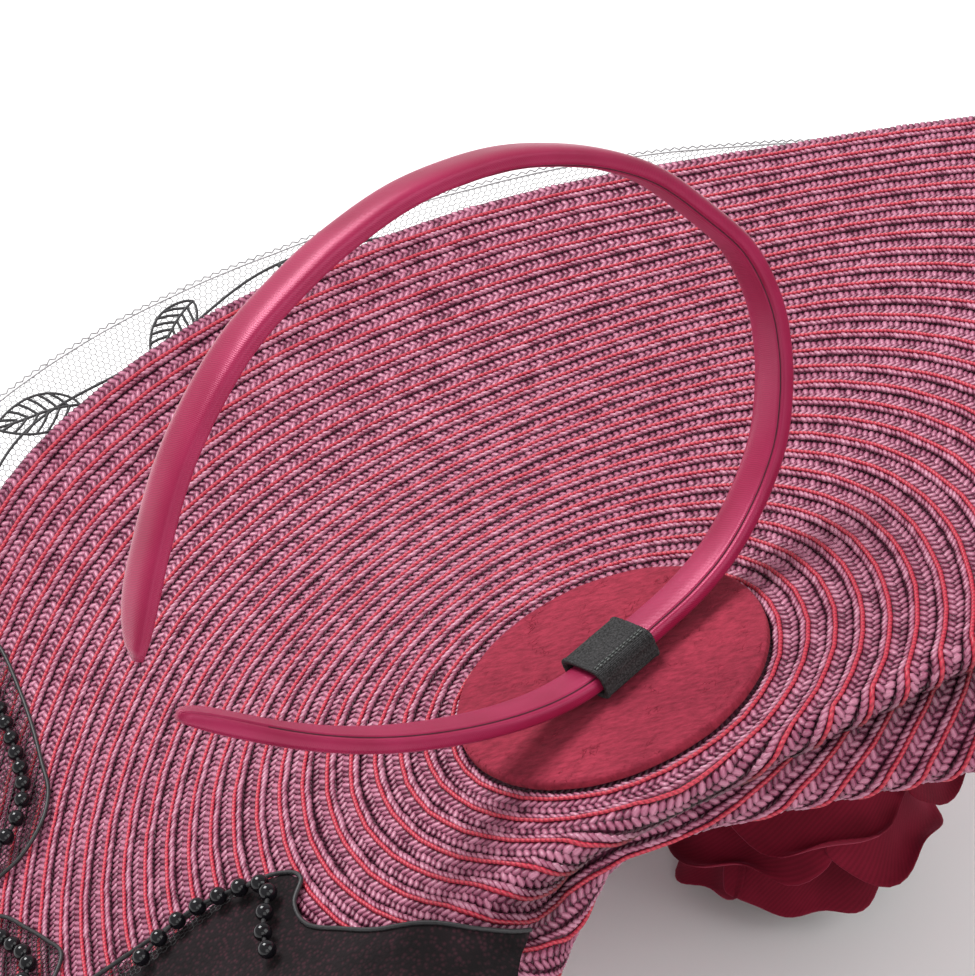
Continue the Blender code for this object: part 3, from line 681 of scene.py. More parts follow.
def makeStraws():
    finishes = {"paleStraw": paleStraw, "mauveStraw": mauveStraw}
    made = []
    for index, (lane, values) in enumerate(straws.items()):
        share, height, pitch, slant, size, finish = values
        points, ahead, outward, paintedShade = lanePlaces(share, height, pitch, slant, braid["hiddenRows"])
        made.append(layCopies(f"straw_{lane}", points, ahead, outward, grain, size,
                              finishes[finish], spread=0.12, seed=3 + index, paintedShade=paintedShade))
    return made


def makeStrands(finish):
    width = saucer["radius"] / braid["rows"]
    parts, paintedShades = [], []
    sides = 4
    for row in range(braid["hiddenRows"], braid["rows"]):
        radius = (row + braid["strandAt"]) * width
        turns = rowTurns(radius)
        height = np.full(len(turns), braid["strandHeight"])
        path = ringPoint(radius + rowWander(row, turns), turns, height)
        normal = strawNormal(radius * np.cos(turns), radius * np.sin(turns))
        ahead = unit(np.roll(path, -1, axis=0) - np.roll(path, 1, axis=0))
        side = unit(np.cross(normal, ahead))
        angles = 2 * math.pi * np.arange(sides) / sides
        ring = (normal[:, None, :] * np.cos(angles)[None, :, None]
                + side[:, None, :] * np.sin(angles)[None, :, None])
        points = (path[:, None, :] + braid["strandRadius"] * ring).reshape(-1, 3)
        rows = len(turns)
        quads = gridFaces(rows, sides, closeRows=True, closeColumns=True)[:, ::-1]
        run = np.concatenate((turns, [2 * math.pi])) * radius * 1000
        i, j = np.divmod(np.arange(rows * sides), sides)
        u = np.stack((run[i + 1], run[i + 1], run[i], run[i]), axis=1)
        v = np.stack((j, j + 1, j + 1, j), axis=1) / sides
        parts.append((points, quads, np.stack((u, v), axis=2)))
        # Painted crevice shade for every point of the strand
        paintedShades.append(np.repeat(paintedCreviceShade(radius * np.cos(turns), radius * np.sin(turns)), sides))
    points, quads, uvs = joinQuads(parts)
    mesh = quadMesh("straw_strands", toWorld(points), quads, uvs)
    storePaintedShade(mesh, np.concatenate(paintedShades))
    mesh.materials.append(finish)
    return linkMesh("straw_strands", mesh)


strawRows = makeRows(groundFinish())
strawLanes = makeStraws()
strawStrands = makeStrands(redStrandFinish())
print("braid rows, straws and strands made")

dress([strawRows, strawStrands] + strawLanes)
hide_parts("straw_saucer", "straw_flap")

# Curves, tubes and the satin headband


# Smooth curve through chosen points, at even shares of its length
def curveThrough(points, steps):
    points = np.asarray(points, dtype=float)
    ends = np.concatenate(([2 * points[0] - points[1]], points, [2 * points[-1] - points[-2]]))
    dense = []
    for a, b, c, d in zip(ends, ends[1:], ends[2:], ends[3:]):
        for u in np.arange(12) / 12:
            dense.append(0.5 * (2 * b + (c - a) * u + (2 * a - 5 * b + 4 * c - d) * u ** 2
                                + (3 * b - a - 3 * c + d) * u ** 3))
    dense = np.array(dense + [points[-1]])
    length = np.concatenate(([0.0], np.cumsum(np.linalg.norm(np.diff(dense, axis=0), axis=1))))
    places = np.linspace(0.0, length[-1], steps + 1)
    return np.stack([np.interp(places, length, dense[:, axis]) for axis in range(dense.shape[1])], axis=1)


def joinLines(lines):
    points, edges, start = [], [], 0
    for line, closed in lines:
        count = len(line)
        points.append(line)
        pairs = np.stack((np.arange(count - 1), np.arange(1, count)), axis=1)
        if closed:
            pairs = np.concatenate((pairs, [[count - 1, 0]]))
        edges.append(pairs + start)
        start += count
    return np.concatenate(points), np.concatenate(edges)


# Round cords along lines, each given with whether it is closed
def cordsAlong(name, lines, radius, finish, sides):
    points, edges = joinLines(lines)
    return layCords(name, points, edges, radius, finish, sides)


# Closed tube from rings of points, with both ends filled
def tubeMesh(name, rings, run=None):
    rows, columns = rings.shape[:2]
    quads = gridFaces(rows, columns, closeColumns=True)
    i, j = np.divmod(np.arange((rows - 1) * columns), columns)
    run = np.arange(rows) if run is None else run
    u = np.stack((run[i], run[i], run[i + 1], run[i + 1]), axis=1)
    v = np.stack((j, j + 1, j + 1, j), axis=1) / columns
    mesh = quadMesh(name, toWorld(rings.reshape(-1, 3)), quads, np.stack((u, v), axis=2))
    closeMesh(mesh)
    return mesh


# Fills open ends and turns every face outwards
def closeMesh(mesh):
    form = bmesh.new()
    form.from_mesh(mesh)
    bmesh.ops.holes_fill(form, edges=form.edges, sides=0)
    bmesh.ops.recalc_face_normals(form, faces=form.faces)
    form.to_mesh(mesh)
    form.free()
    mesh.shade_smooth()


def ovalPoints(thickness, width, sides, power=0.7):
    def rounded(values, reach):
        return 0.5 * reach * np.sign(values) * np.abs(values) ** power

    angle = 2 * math.pi * (np.arange(sides) + 0.5) / sides
    return angle, rounded(np.cos(angle), thickness), rounded(np.sin(angle), width)


headband = {
    "span": 0.155, "rise": 0.1125, "width": 0.0100, "thickness": 0.0042,
    "turn": math.radians(5.0), "shift": -0.0026, "sides": 52, "steps": 190,
    "seamAt": math.radians(226.0), "seamDepth": 0.00050, "seamWidth": math.radians(5.5),
    "seamShadowRadius": 0.00026, "foldLift": 0.00022,
    # Shares of the span and of the rise above the felt base, from the short tip to the long one
    "path": ((-0.56, 0.495), (-0.435, 0.30), (-0.32, 0.165), (-0.185, 0.055), (-0.065, 0.0), (0.065, 0.0),
             (0.145, 0.004), (0.218, 0.025), (0.29, 0.073), (0.352, 0.14), (0.39, 0.215), (0.417, 0.30),
             (0.431, 0.40), (0.421, 0.52), (0.383, 0.63), (0.333, 0.745), (0.273, 0.83), (0.207, 0.895),
             (0.14, 0.944), (0.067, 0.977), (-0.006, 0.997), (-0.085, 1.0), (-0.168, 0.99),
             (-0.285, 0.952), (-0.40, 0.865), (-0.488, 0.755), (-0.572, 0.625)),
}
elastic = {
    "length": 0.0150, "wall": 0.0010, "play": 0.0005, "ribs": 46, "ribDepth": 0.00009, "sides": 230,
    # Share of the length, size, and whether the ring is on the sleeve's inside
    "profile": ((-0.46, 1.0, True), (-0.49, 1.0, True), (-0.5, 1.012, False), (-0.485, 1.03, False),
                (-0.455, 1.03, False), (-0.44, 1.0, False), (0.44, 1.0, False), (0.455, 1.03, False),
                (0.485, 1.03, False), (0.5, 1.012, False), (0.49, 1.0, True), (0.46, 1.0, True)),
    "stitchRows": (-0.31, -0.36), "stitchSize": (0.0010, 0.00035, 0.0005),
}

bandBase = (0.5 * saucer["wall"] + felt["gap"] * 2 + felt["thickness"] + elastic["wall"] + elastic["play"]
            + 0.5 * headband["thickness"])
bandAlong = np.array((math.cos(headband["turn"]), math.sin(headband["turn"]), 0.0))
bandSide = np.array((-bandAlong[1], bandAlong[0], 0.0))


def satinFinish():
    finish, tree, shader = newFinish("burgundy satin", 0.33, **{
        "Specular IOR Level": 0.85, "Specular Tint": (1.0, 0.32, 0.50, 1.0),
        "Sheen Weight": 0.06, "Sheen Tint": (1.0, 0.30, 0.50, 1.0)})
    place = put(tree, "ShaderNodeTexCoord")
    stretch = put(tree, "ShaderNodeMapping", {"Rotation": (0, 0, 0.62), "Scale": (1.0, 24.0, 1.0)})
    twill = put(tree, "ShaderNodeTexWave", {"Scale": 0.85, "Distortion": 0.4, "Detail": 1.0})
    wire(tree, (place.outputs["UV"], stretch.inputs["Vector"]), (stretch.outputs[0], twill.inputs["Vector"]))
    base = colourRamp(tree, objectNoise(tree, 70.0, 3.0), (
        (0.3, (0.24, 0.008, 0.042)), (0.7, (0.32, 0.015, 0.068))))
    lines = colourRamp(tree, twill.outputs["Fac"], ((0.0, (0.80, 0.78, 0.80)), (1.0, (1.1, 1.05, 1.08))))
    paintProduct(tree, shader, base, lines)
    addBump(tree, shader, twill.outputs["Fac"], 0.25, 0.0001)
    return finish


def makeHeadband():
    shares = np.array(headband["path"])
    points = (bandAlong * (shares[:, :1] * headband["span"]) + bandSide * headband["shift"]
              + np.array((0, 0, 1.0)) * (bandBase + shares[:, 1:] * headband["rise"]))
    path = curveThrough(points, headband["steps"])
    ahead = unit(np.gradient(path, axis=0))
    out = unit(np.cross(bandSide, ahead))
    length = np.concatenate(([0.0], np.cumsum(np.linalg.norm(np.diff(path, axis=0), axis=1))))
    angle, thick, wide = ovalPoints(headband["thickness"], headband["width"], headband["sides"])
    random = np.random.default_rng(5)
    pucker = sum(np.sin(length * wave + phase) for wave, phase in
                 zip((900.0, 1460.0, 2300.0, 310.0), random.uniform(0, 6.28, 4))) * 0.25
    away = (angle[None, :] - headband["seamAt"]) / headband["seamWidth"]
    groove = np.exp(-away ** 2) * headband["seamDepth"]
    fold = (np.exp(-((away + 2.1) / 1.1) ** 2) * headband["foldLift"] * (1.0 + 0.7 * pucker[:, None])
            + np.exp(-((away - 2.0) / 1.6) ** 2) * 0.5 * headband["foldLift"] * (1.0 - 0.8 * pucker[:, None]))
    fromTip = np.minimum(length, length[-1] - length)
    size = np.sqrt(np.clip(1.0 - (1.0 - np.clip(fromTip / 0.015, 0, 1)) ** 2.2, 0.03, 1.0))
    scaleBy = 1.0 + (fold - groove) / np.hypot(thick, wide)[None, :]
    a = thick[None, :] * scaleBy * (0.35 + 0.65 * size)[:, None]
    b = wide[None, :] * scaleBy * size[:, None]
    lean = 0.5 * headband["width"] * (1.0 - size) * np.where(length < length[-1] / 2, -0.55, -0.75)
    rings = path[:, None, :] + out[:, None, :] * a[..., None] + bandSide * (b + lean[:, None])[..., None]
    mesh = tubeMesh("headband_satin", rings, length * 1000)
    mesh.materials.append(satinFinish())
    column = int(round(headband["seamAt"] / (2 * math.pi) * headband["sides"] - 0.5))
    # Painted shadow: a dark cord along the seam groove stands in for the seam's shade
    shadow = threadFinish("seam shadow thread", (0.050, 0.003, 0.012))
    seam = cordsAlong("headband_seam", [(rings[9:-9, column], False)], headband["seamShadowRadius"], shadow, 5)
    return linkMesh("headband_satin", mesh), seam


def elasticFinish():
    finish, tree, shader = newFinish("black ribbed elastic", 0.85, **{"Specular IOR Level": 0.3})
    fibre = objectNoise(tree, 2600.0)
    colour = colourRamp(tree, fibre, ((0.35, (0.008, 0.008, 0.008)), (0.7, (0.050, 0.048, 0.050))))
    wire(tree, (colour, shader.inputs["Base Color"]))
    addBump(tree, shader, fibre, 0.6, 0.0002)
    return finish


def makeElastic(finish):
    outerThick = headband["thickness"] + 2 * elastic["play"] + 2 * elastic["wall"]
    outerWide = headband["width"] + 2 * elastic["play"] + 2 * elastic["wall"]
    centre = bandSide * headband["shift"] + np.array((0, 0, bandBase))
    angle, thick, wide = ovalPoints(outerThick, outerWide, elastic["sides"], 0.42)
    rib = elastic["ribDepth"] * (np.cos(angle * elastic["ribs"]) - 1.0)
    rib = 1.0 + rib / np.hypot(thick, wide)
    inside = 1.6 * elastic["wall"]
    inner = ovalPoints(outerThick - inside, outerWide - inside, elastic["sides"], 0.6)
    up = np.array((0, 0, 1.0))
    rings = []
    for share, size, isInner in elastic["profile"]:
        a, b = inner[1:] if isInner else (thick * rib * size, wide * rib * size)
        middle = centre + bandAlong * (share * elastic["length"])
        rings.append(middle + up * a[:, None] + bandSide * b[:, None])
    rings = np.array(rings)
    rows, columns = rings.shape[:2]
    quads = gridFaces(rows, columns, closeRows=True, closeColumns=True)
    mesh = quadMesh("elastic_sleeve", toWorld(rings.reshape(-1, 3)), quads)
    closeMesh(mesh)
    mesh.materials.append(finish)
    sleeve = linkMesh("elastic_sleeve", mesh)
    along = np.arange(-0.42, 0.43, 0.07) * elastic["length"]
    height = 0.5 * outerThick * 0.985
    line = centre + bandAlong * along[:, None]
    places = np.concatenate([line + bandSide * (across * outerWide) + up * height
                             for across in elastic["stitchRows"]])
    stitches = layCopies("elastic_stitches", places, np.tile(bandAlong, (len(places), 1)),
                         np.tile(up, (len(places), 1)), grain, elastic["stitchSize"],
                         threadFinish("grey stitch", (0.10, 0.11, 0.105)), spread=0.15, seed=8)
    return sleeve, stitches


def threadFinish(name, colour, roughness=0.7):
    finish, tree, shader = newFinish(name, roughness)
    fibre = objectNoise(tree, 1500.0)
    dark = tuple(0.6 * part for part in colour)
    light = tuple(min(1.0, 1.35 * part) for part in colour)
    wire(tree, (colourRamp(tree, fibre, ((0.3, dark), (0.7, light))), shader.inputs["Base Color"]))
    addBump(tree, shader, fibre, 0.4, 0.0001)
    return finish


headbandSatin, headbandSeamShadow = makeHeadband()
dress((headbandSatin, headbandSeamShadow))
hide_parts("headband")
elasticSleeve, elasticStitches = makeElastic(elasticFinish())
dress((elasticSleeve, elasticStitches))
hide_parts("elastic_loop")
print("headband and elastic made")


# Felt base with a soft edge and loose fibres

feltLook = {"edge": 0.0009, "sides": 150, "wave": 0.00009, "fibres": 2600,
            "fibre": (0.0016, 0.00013, 0.00022)}


def feltFinish():
    finish, tree, shader = newFinish("burgundy wool felt", 0.95, **{
        "Specular IOR Level": 0.2, "Sheen Weight": 0.06, "Sheen Tint": (1.0, 0.30, 0.38, 1.0)})
    place = put(tree, "ShaderNodeTexCoord")
    stretch = put(tree, "ShaderNodeMapping", {"Rotation": (0, 0, 0.6), "Scale": (1.0, 2.6, 1.0)})
    wool = put(tree, "ShaderNodeTexNoise", {"Scale": 420.0, "Detail": 5.0, "Roughness": 0.65})
    wire(tree, (place.outputs["Object"], stretch.inputs["Vector"]),
         (stretch.outputs[0], wool.inputs["Vector"]))
    base = colourRamp(tree, objectNoise(tree, 45.0), (
        (0.3, (0.25, 0.022, 0.046)), (0.7, (0.32, 0.031, 0.060))))
    fleck = colourRamp(tree, wool.outputs["Fac"], ((0.25, (0.52, 0.46, 0.48)), (0.75, (1.25, 1.2, 1.2))))
    paintProduct(tree, shader, base, fleck)
    addBump(tree, shader, wool.outputs["Fac"], 0.7, 0.0006)
    return finish


def makeFelt(finish):
    low, high = 0.5 * saucer["wall"] + felt["gap"], 0.5 * saucer["wall"] + felt["gap"] + felt["thickness"]
    edge, radius = feltLook["edge"], felt["radius"]
    profile = [(share * radius, high) for share in (0.03, 0.2, 0.4, 0.6, 0.75, 0.86, 0.93)]
    for step in range(7):
        angle = 0.5 * math.pi * (1 - step / 6)
        profile.append((radius - edge + edge * math.cos(angle), high - edge + edge * math.sin(angle)))
    profile += [(radius, low + 0.0004), (radius - 0.0005, low), (0.5 * radius, low), (0.03 * radius, low)]
    turns = 2 * math.pi * np.arange(feltLook["sides"]) / feltLook["sides"]
    random = np.random.default_rng(21)
    rings = []
    for reach, height in profile:
        wave = sum(np.sin(count * turns + phase + 160 * reach) for count, phase in
                   zip((5, 11, 23), random.uniform(0, 6.28, 3))) * feltLook["wave"] * (height > low + 0.0001)
        x, y = reach * np.cos(turns), reach * np.sin(turns)
        rings.append(np.stack((x, y, height + 0.6 * wave - 0.0001), axis=1))
    mesh = tubeMesh("felt_disc", np.array(rings))
    mesh.materials.append(finish)
    disc = linkMesh("felt_disc", mesh)
    count = feltLook["fibres"]
    reach = radius * np.sqrt(random.uniform(0, 1.0, count)) * 0.985
    turn = random.uniform(0, 2 * math.pi, count)
    points = np.stack((reach * np.cos(turn), reach * np.sin(turn), np.full(count, high - 0.0002)), axis=1)
    heading = random.normal(0.55, 0.6, count)
    rise = random.uniform(-0.05, 0.22, count)
    ahead = unit(np.stack((np.cos(heading), np.sin(heading), rise), axis=1))
    fuzz = layCopies("felt_fibres", points, ahead, np.tile((0.0, 0.0, 1.0), (count, 1)), grain,
                     feltLook["fibre"], finish, spread=0.4, seed=4)
    return disc, fuzz


feltDisc, feltFuzz = makeFelt(feltFinish())
dress((feltDisc, feltFuzz))
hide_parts("felt_base")
print("felt made")


# Net lace: the border on the hat's top side and the lap over the near-left brim

net = {
    "gap": 0.0014, "lace": 0.0010, "inside": 0.024, "cell": 0.00165, "thread": 0.00012,
    # Degrees round the rim from the headband's right end, and how far the border passes the rim
    "reach": ((30, 0.001), (38, 0.005), (46, 0.007), (54, 0.008), (62, 0.008), (70, 0.009), (78, 0.010),
              (86, 0.012), (94, 0.015), (102, 0.018), (110, 0.020), (118, 0.020), (127, 0.018), (136, 0.016),
              (146, 0.013), (156, 0.010), (168, 0.006), (180, 0.002)),
    "picotPitch": 0.0024, "picotDepth": 0.0008, "picotThread": 0.00022, "cord": 0.00038,
    "flat": (0.508, 0.044), "flatArea": 0.0178,
    # Corded leaves: degrees, distance past the rim, turn, length, width
    "leaves": ((172, -0.004, 30, 0.020, 0.010), (160, 0.002, -25, 0.022, 0.010),
               (148, 0.003, 35, 0.026, 0.012), (136, 0.004, -30, 0.026, 0.012),
               (124, 0.007, 28, 0.028, 0.013), (112, 0.009, -30, 0.026, 0.012),
               (100, 0.007, 32, 0.022, 0.011), (88, 0.003, -25, 0.020, 0.010),
               (76, 0.001, 30, 0.018, 0.009)),
}
borderHeight = -(0.5 * saucer["wall"] + net["gap"] + 0.5 * net["lace"])


# Points and edges of a net of six-sided cells over a rectangle
def hexNet(width, height, cell):
    side = cell / math.sqrt(3)
    columns, rows = int(width / cell) + 1, int(height / (1.5 * side)) + 1
    j, i = (grid.ravel() for grid in np.meshgrid(np.arange(rows), np.arange(columns), indexing="ij"))
    x, y = cell * (i + 0.5 * (j % 2)), 1.5 * side * j
    low = np.stack((x, y), axis=1)
    points = np.concatenate((low, low + (0, side)))
    count, index = rows * columns, j * columns + i
    edges = [np.stack((index, index + count), axis=1)]
    for shift in (0, 1):
        other = i + shift - (j % 2 == 0)
        fits = (other >= 0) & (other < columns) & (j + 1 < rows)
        edges.append(np.stack((index[fits] + count, (j[fits] + 1) * columns + other[fits]), axis=1))
    return points, np.concatenate(edges)


# Keeps the points that a test allows, and the edges between them
def keepEdges(points, edges, allowed):
    number = np.cumsum(allowed) - 1
    edges = edges[allowed[edges].all(axis=1)]
    return points[allowed], number[edges]


# A leaf of cord in flat distances: outline, midrib and side veins
def leafLines(length, width, veins=7):
    along = np.linspace(0, 1, 26)
    half = 0.5 * width * np.sin(math.pi * along ** 0.85) ** 0.8
    outline = np.concatenate((np.stack((along * length, half), axis=1),
                              np.stack((along * length, -half), axis=1)[-2:0:-1]))
    lines = [(outline, True), (np.stack((along * length, 0.04 * width * np.sin(6 * along)), axis=1), False)]
    for vein in range(1, veins):
        start = vein / veins * 0.85
        for side in (-1, 1):
            tip = min(start + 0.2, 0.98)
            reach = 0.5 * width * math.sin(math.pi * tip ** 0.85) ** 0.8
            lines.append((np.array(((start * length, 0.0), (0.5 * (start + tip) * length, side * reach * 0.6),
                                    (tip * length, side * reach))), False))
    return lines


def makeBorder():
    degrees, reach = (np.array(column, dtype=float) for column in zip(*net["reach"]))
    radius = saucer["radius"]
    span = math.radians(degrees[-1] - degrees[0]) * radius
    flat, edges = hexNet(span, net["inside"] + max(reach), net["cell"])
    at = degrees[0] + np.degrees(flat[:, 0] / radius)
    place = radius - net["inside"] + flat[:, 1]
    limit = radius + np.interp(at, degrees, reach)
    flatEdge = keepEdges(np.stack((at, place), axis=1), edges, (place < limit) & (at <= degrees[-1]))
    points = rimPoint(flatEdge[0][:, 0], flatEdge[0][:, 1], np.full(len(flatEdge[0]), borderHeight))
    grey = threadFinish("grey net thread", (0.30, 0.29, 0.30), 0.6)
    mesh = layCords("lace_border_net", points, flatEdge[1], net["thread"], grey, caps=False)
    turns = np.arange(degrees[0], degrees[-1], math.degrees(0.5 * net["picotPitch"] / radius))
    edge = radius + np.interp(turns, degrees, reach)
    level = np.full(len(turns), borderHeight)
    zigzag = rimPoint(turns, edge + net["picotDepth"] * (np.arange(len(turns)) % 2), level)
    inner = rimPoint(turns, edge - 0.0006, level)
    seam = rimPoint(turns, np.full(len(turns), radius - net["inside"]), level)
    edgeLines = [(zigzag, False), (inner, False), (seam, False)]
    picots = cordsAlong("lace_border_picots", edgeLines, net["picotThread"], grey, 5)
    lines = []
    for leafAt, past, turn, length, width in net["leaves"]:
        for line, closed in leafLines(length, width):
            c, k = math.cos(math.radians(turn)), math.sin(math.radians(turn))
            x, y = line[:, 0] - 0.5 * length, line[:, 1]
            across = past + x * k + y * c
            around = leafAt + np.degrees((x * c - y * k) / radius)
            level = np.full(len(line), borderHeight + 0.0005)
            lines.append((rimPoint(around, radius + across, level), closed))
    stemTurns = np.linspace(66, 176, 150)
    stem = radius + 0.003 + 0.003 * np.sin(np.radians(stemTurns * 15))
    lines.append((rimPoint(stemTurns, stem, np.full(150, borderHeight + 0.0005)), False))
    black = threadFinish("black cord", (0.020, 0.018, 0.021), 0.5)
    return mesh, picots, cordsAlong("lace_border_leaves", lines, net["cord"], black, 6)


borderNet, borderPicots, borderLeaves = makeBorder()
dress((borderNet, borderPicots, borderLeaves))
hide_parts("lace_border")
print("net border made")

lap = {
    "gap": 0.0007, "lift": 0.0012, "cell": 0.00135, "thread": 0.00012, "cord": 0.00050,
    # Degrees round the rim, and the lap's inner and outer edges as shares of the saucer's radius
    "edge": ((115.5, 0.955, 0.985), (118.0, 0.88, 0.985), (121.5, 0.825, 0.985), (125.0, 0.785, 0.985),
             (128.5, 0.755, 0.985), (132.0, 0.730, 0.985), (135.5, 0.728, 0.985), (138.8, 0.752, 0.985),
             (141.0, 0.80, 0.985), (142.8, 0.82, 0.985), (144.8, 0.765, 0.985), (147.5, 0.730, 0.985),
             (150.5, 0.700, 0.985), (153.5, 0.680, 0.98), (156.5, 0.700, 0.97), (158.6, 0.740, 0.96),
             (160.0, 0.540, 0.95), (162.5, 0.440, 0.93), (165.5, 0.400, 0.90), (169.0, 0.390, 0.87),
             (172.5, 0.410, 0.83), (178.0, 0.415, 0.75), (185.0, 0.398, 0.66), (192.0, 0.383, 0.585),
             (199.0, 0.362, 0.51), (206.0, 0.347, 0.443), (213.0, 0.338, 0.40)),
    # Degrees where the cloth starts and how far the net goes on under it, then the cloth's cut
    "clothFrom": 161.5, "netPast": 1.5, "flatLength": 0.150, "flatFill": 0.75,
}


# Height of the lap's middle off the saucer's middle surface
def lapHeight(degrees, distance):
    turn = np.radians(degrees) + saucer["foldTurn"]
    _, closing = foldShares(distance * np.cos(turn))
    past = smoothStep(0.5 * saucer["foldDistance"], saucer["foldDistance"], -distance * np.sin(turn))
    return 0.5 * saucer["wall"] + lap["gap"] + 0.5 * net["lace"] + lap["lift"] * closing * past


def makeLap():
    degrees, inner, outer = (np.array(column) for column in zip(*lap["edge"]))
    radius = saucer["radius"]
    span = math.radians(degrees[-1] - degrees[0]) * 0.72 * radius
    flat, edges = hexNet(span, radius * 0.68, lap["cell"])
    at = degrees[0] + np.degrees(flat[:, 0] / (0.72 * radius))
    place = radius * 0.33 + flat[:, 1]
    share = place / radius
    between = (share > np.interp(at, degrees, inner)) & (share < np.interp(at, degrees, outer))
    allowed = between & (at <= lap["clothFrom"] + lap["netPast"])
    kept, keptEdges = keepEdges(np.stack((at, place), axis=1), edges, allowed)
    points = rimPoint(kept[:, 0], kept[:, 1], lapHeight(kept[:, 0], kept[:, 1]))
    black = threadFinish("black net thread", (0.018, 0.016, 0.018), 0.55)
    mesh = layCords("lace_lap_net", points, keptEdges, lap["thread"], black, caps=False)
    smooth = curveThrough(np.stack((degrees, inner), axis=1), 400)
    around, rim = smooth[:, 0], radius * smooth[:, 1]
    edge = rimPoint(around, rim, lapHeight(around, rim) + 0.0002)
    cordFinish = threadFinish("black lace cord", (0.016, 0.015, 0.017), 0.5)
    cord = cordsAlong("lace_lap_cord", [(edge, False)], lap["cord"], cordFinish, 8)
    clothTurns = np.linspace(lap["clothFrom"], degrees[-1], 70)
    low, high = np.interp(clothTurns, degrees, inner), np.interp(clothTurns, degrees, outer)
    shares = np.linspace(0, 1, 60)[None, :]
    distance = radius * (low[:, None] + (high - low)[:, None] * shares)
    turnGrid = np.broadcast_to(clothTurns[:, None], distance.shape)
    cloth = rimPoint(turnGrid, distance, lapHeight(turnGrid, distance) - 0.0002)
    clothMesh = quadMesh("lace_lap_cloth", toWorld(cloth.reshape(-1, 3)), gridFaces(70, 60)[:, ::-1])
    clothMesh.materials.append(clothFinish())
    sheet = linkMesh("lace_lap_cloth", clothMesh)
    wall = sheet.modifiers.new("wall", "SOLIDIFY")
    wall.thickness, wall.offset = 0.0003, 0.0
    return mesh, cord, sheet


# Close black mesh cloth: fine holes as dark and light specks
def clothFinish():
    finish, tree, shader = newFinish("black mesh cloth", 0.9, **{"Specular IOR Level": 0.2})
    place = put(tree, "ShaderNodeTexCoord")
    holes = put(tree, "ShaderNodeTexVoronoi", {"Scale": 950.0})
    wire(tree, (place.outputs["Object"], holes.inputs["Vector"]))
    mesh = colourRamp(tree, holes.outputs["Distance"], (
        (0.10, (0.040, 0.016, 0.022)), (0.50, (0.010, 0.008, 0.009))))
    tone = colourRamp(tree, objectNoise(tree, 90.0, 3.0), ((0.3, (0.55, 0.50, 0.52)), (0.7, (1.4, 1.1, 1.2))))
    paintProduct(tree, shader, mesh, tone)
    addBump(tree, shader, holes.outputs["Distance"], 0.7, 0.0004)
    return finish


lapNet, lapCord, lapCloth = makeLap()
dress((lapNet, lapCord, lapCloth))
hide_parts("lace_lap")


# Pearls on their thread

pearls = {
    "size": 0.0038, "pitch": 0.0050, "thread": 0.00045, "gap": 0.0003,
    "routes": {
        "beads_left_leaf": ((120.5, 0.880), (122.5, 0.850), (125.5, 0.812), (128.5, 0.782), (131.8, 0.758),
                            (135.0, 0.755), (137.6, 0.775), (139.3, 0.805), (140.5, 0.840)),
        "beads_near_leaf": ((163.2, 0.590), (162.3, 0.556), (161.6, 0.530), (161.8, 0.500), (162.8, 0.472),
                            (164.2, 0.445), (166.2, 0.424), (168.2, 0.418), (170.0, 0.428), (172.4, 0.443),
                            (175.5, 0.456), (179.5, 0.464)),
        "beads_low_leaf": ((144.6, 0.825), (145.6, 0.790), (148.0, 0.757), (150.8, 0.730), (153.5, 0.712),
                           (155.6, 0.728), (156.8, 0.755)),
    },
}


def makeSphere(columns=20, rows=12):
    turns = 2 * math.pi * np.arange(columns) / columns
    rings = []
    for row in range(1, rows):
        tilt = math.pi * row / rows
        rings.append(0.5 * np.stack((math.sin(tilt) * np.cos(turns), math.sin(tilt) * np.sin(turns),
                                     np.full(columns, math.cos(tilt))), axis=1))
    quads = gridFaces(rows - 1, columns, closeColumns=True)
    mesh = quadMesh("pearl_shape", np.array(rings).reshape(-1, 3), quads)
    form = bmesh.new()
    form.from_mesh(mesh)
    form.verts.ensure_lookup_table()
    for row, pole in ((0, 0.5), (rows - 2, -0.5)):
        tip = form.verts.new((0, 0, pole))
        form.verts.ensure_lookup_table()
        for column in range(columns):
            first, second = row * columns + column, row * columns + (column + 1) % columns
            form.faces.new((form.verts[first], form.verts[second], tip))
    bmesh.ops.recalc_face_normals(form, faces=form.faces)
    form.to_mesh(mesh)
    form.free()
    mesh.shade_smooth()
    return linkMesh("pearl_shape", mesh)


def makePearls():
    shape = makeSphere()
    gloss, tree, shader = newFinish("black pearl", 0.10, **{"Specular IOR Level": 0.35})
    tone = colourRamp(tree, objectNoise(tree, 600.0), (
        (0.3, (0.003, 0.003, 0.004)), (0.8, (0.010, 0.009, 0.012))))
    wire(tree, (tone, shader.inputs["Base Color"]))
    thread = threadFinish("bead thread", (0.015, 0.014, 0.016))
    made = []
    height = (0.5 * saucer["wall"] + lap["gap"] + net["lace"] + pearls["gap"] + 0.5 * pearls["size"])
    for name, route in pearls["routes"].items():
        degrees, share = (np.array(column) for column in zip(*route))
        distance = share * saucer["radius"]
        line = rimPoint(degrees, distance, np.full(len(route), height))
        turn = -(np.radians(degrees) + saucer["foldTurn"])
        normals = strawNormal(distance * np.cos(turn), distance * np.sin(turn))
        count = max(2, round(np.linalg.norm(np.diff(line, axis=0), axis=1).sum() / pearls["pitch"]))
        ends, outs = curveThrough(line, count), curveThrough(normals, count)
        middle, ahead = 0.5 * (ends[1:] + ends[:-1]), unit(np.diff(ends, axis=0))
        size = (pearls["size"],) * 3
        string = layCopies(name + "_pearls", middle, ahead, unit(outs[:-1]), shape, size, gloss, spread=0.03)
        cord = cordsAlong(name + "_thread", [(curveThrough(middle, 60), False)], pearls["thread"], thread, 6)
        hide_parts(name)
        made += [string, cord]
        print(f"{name}: {count} pearls")
    bpy.data.objects.remove(shape, do_unlink=True)
    return made


dress(makePearls())
print("pearls made")


# Roses

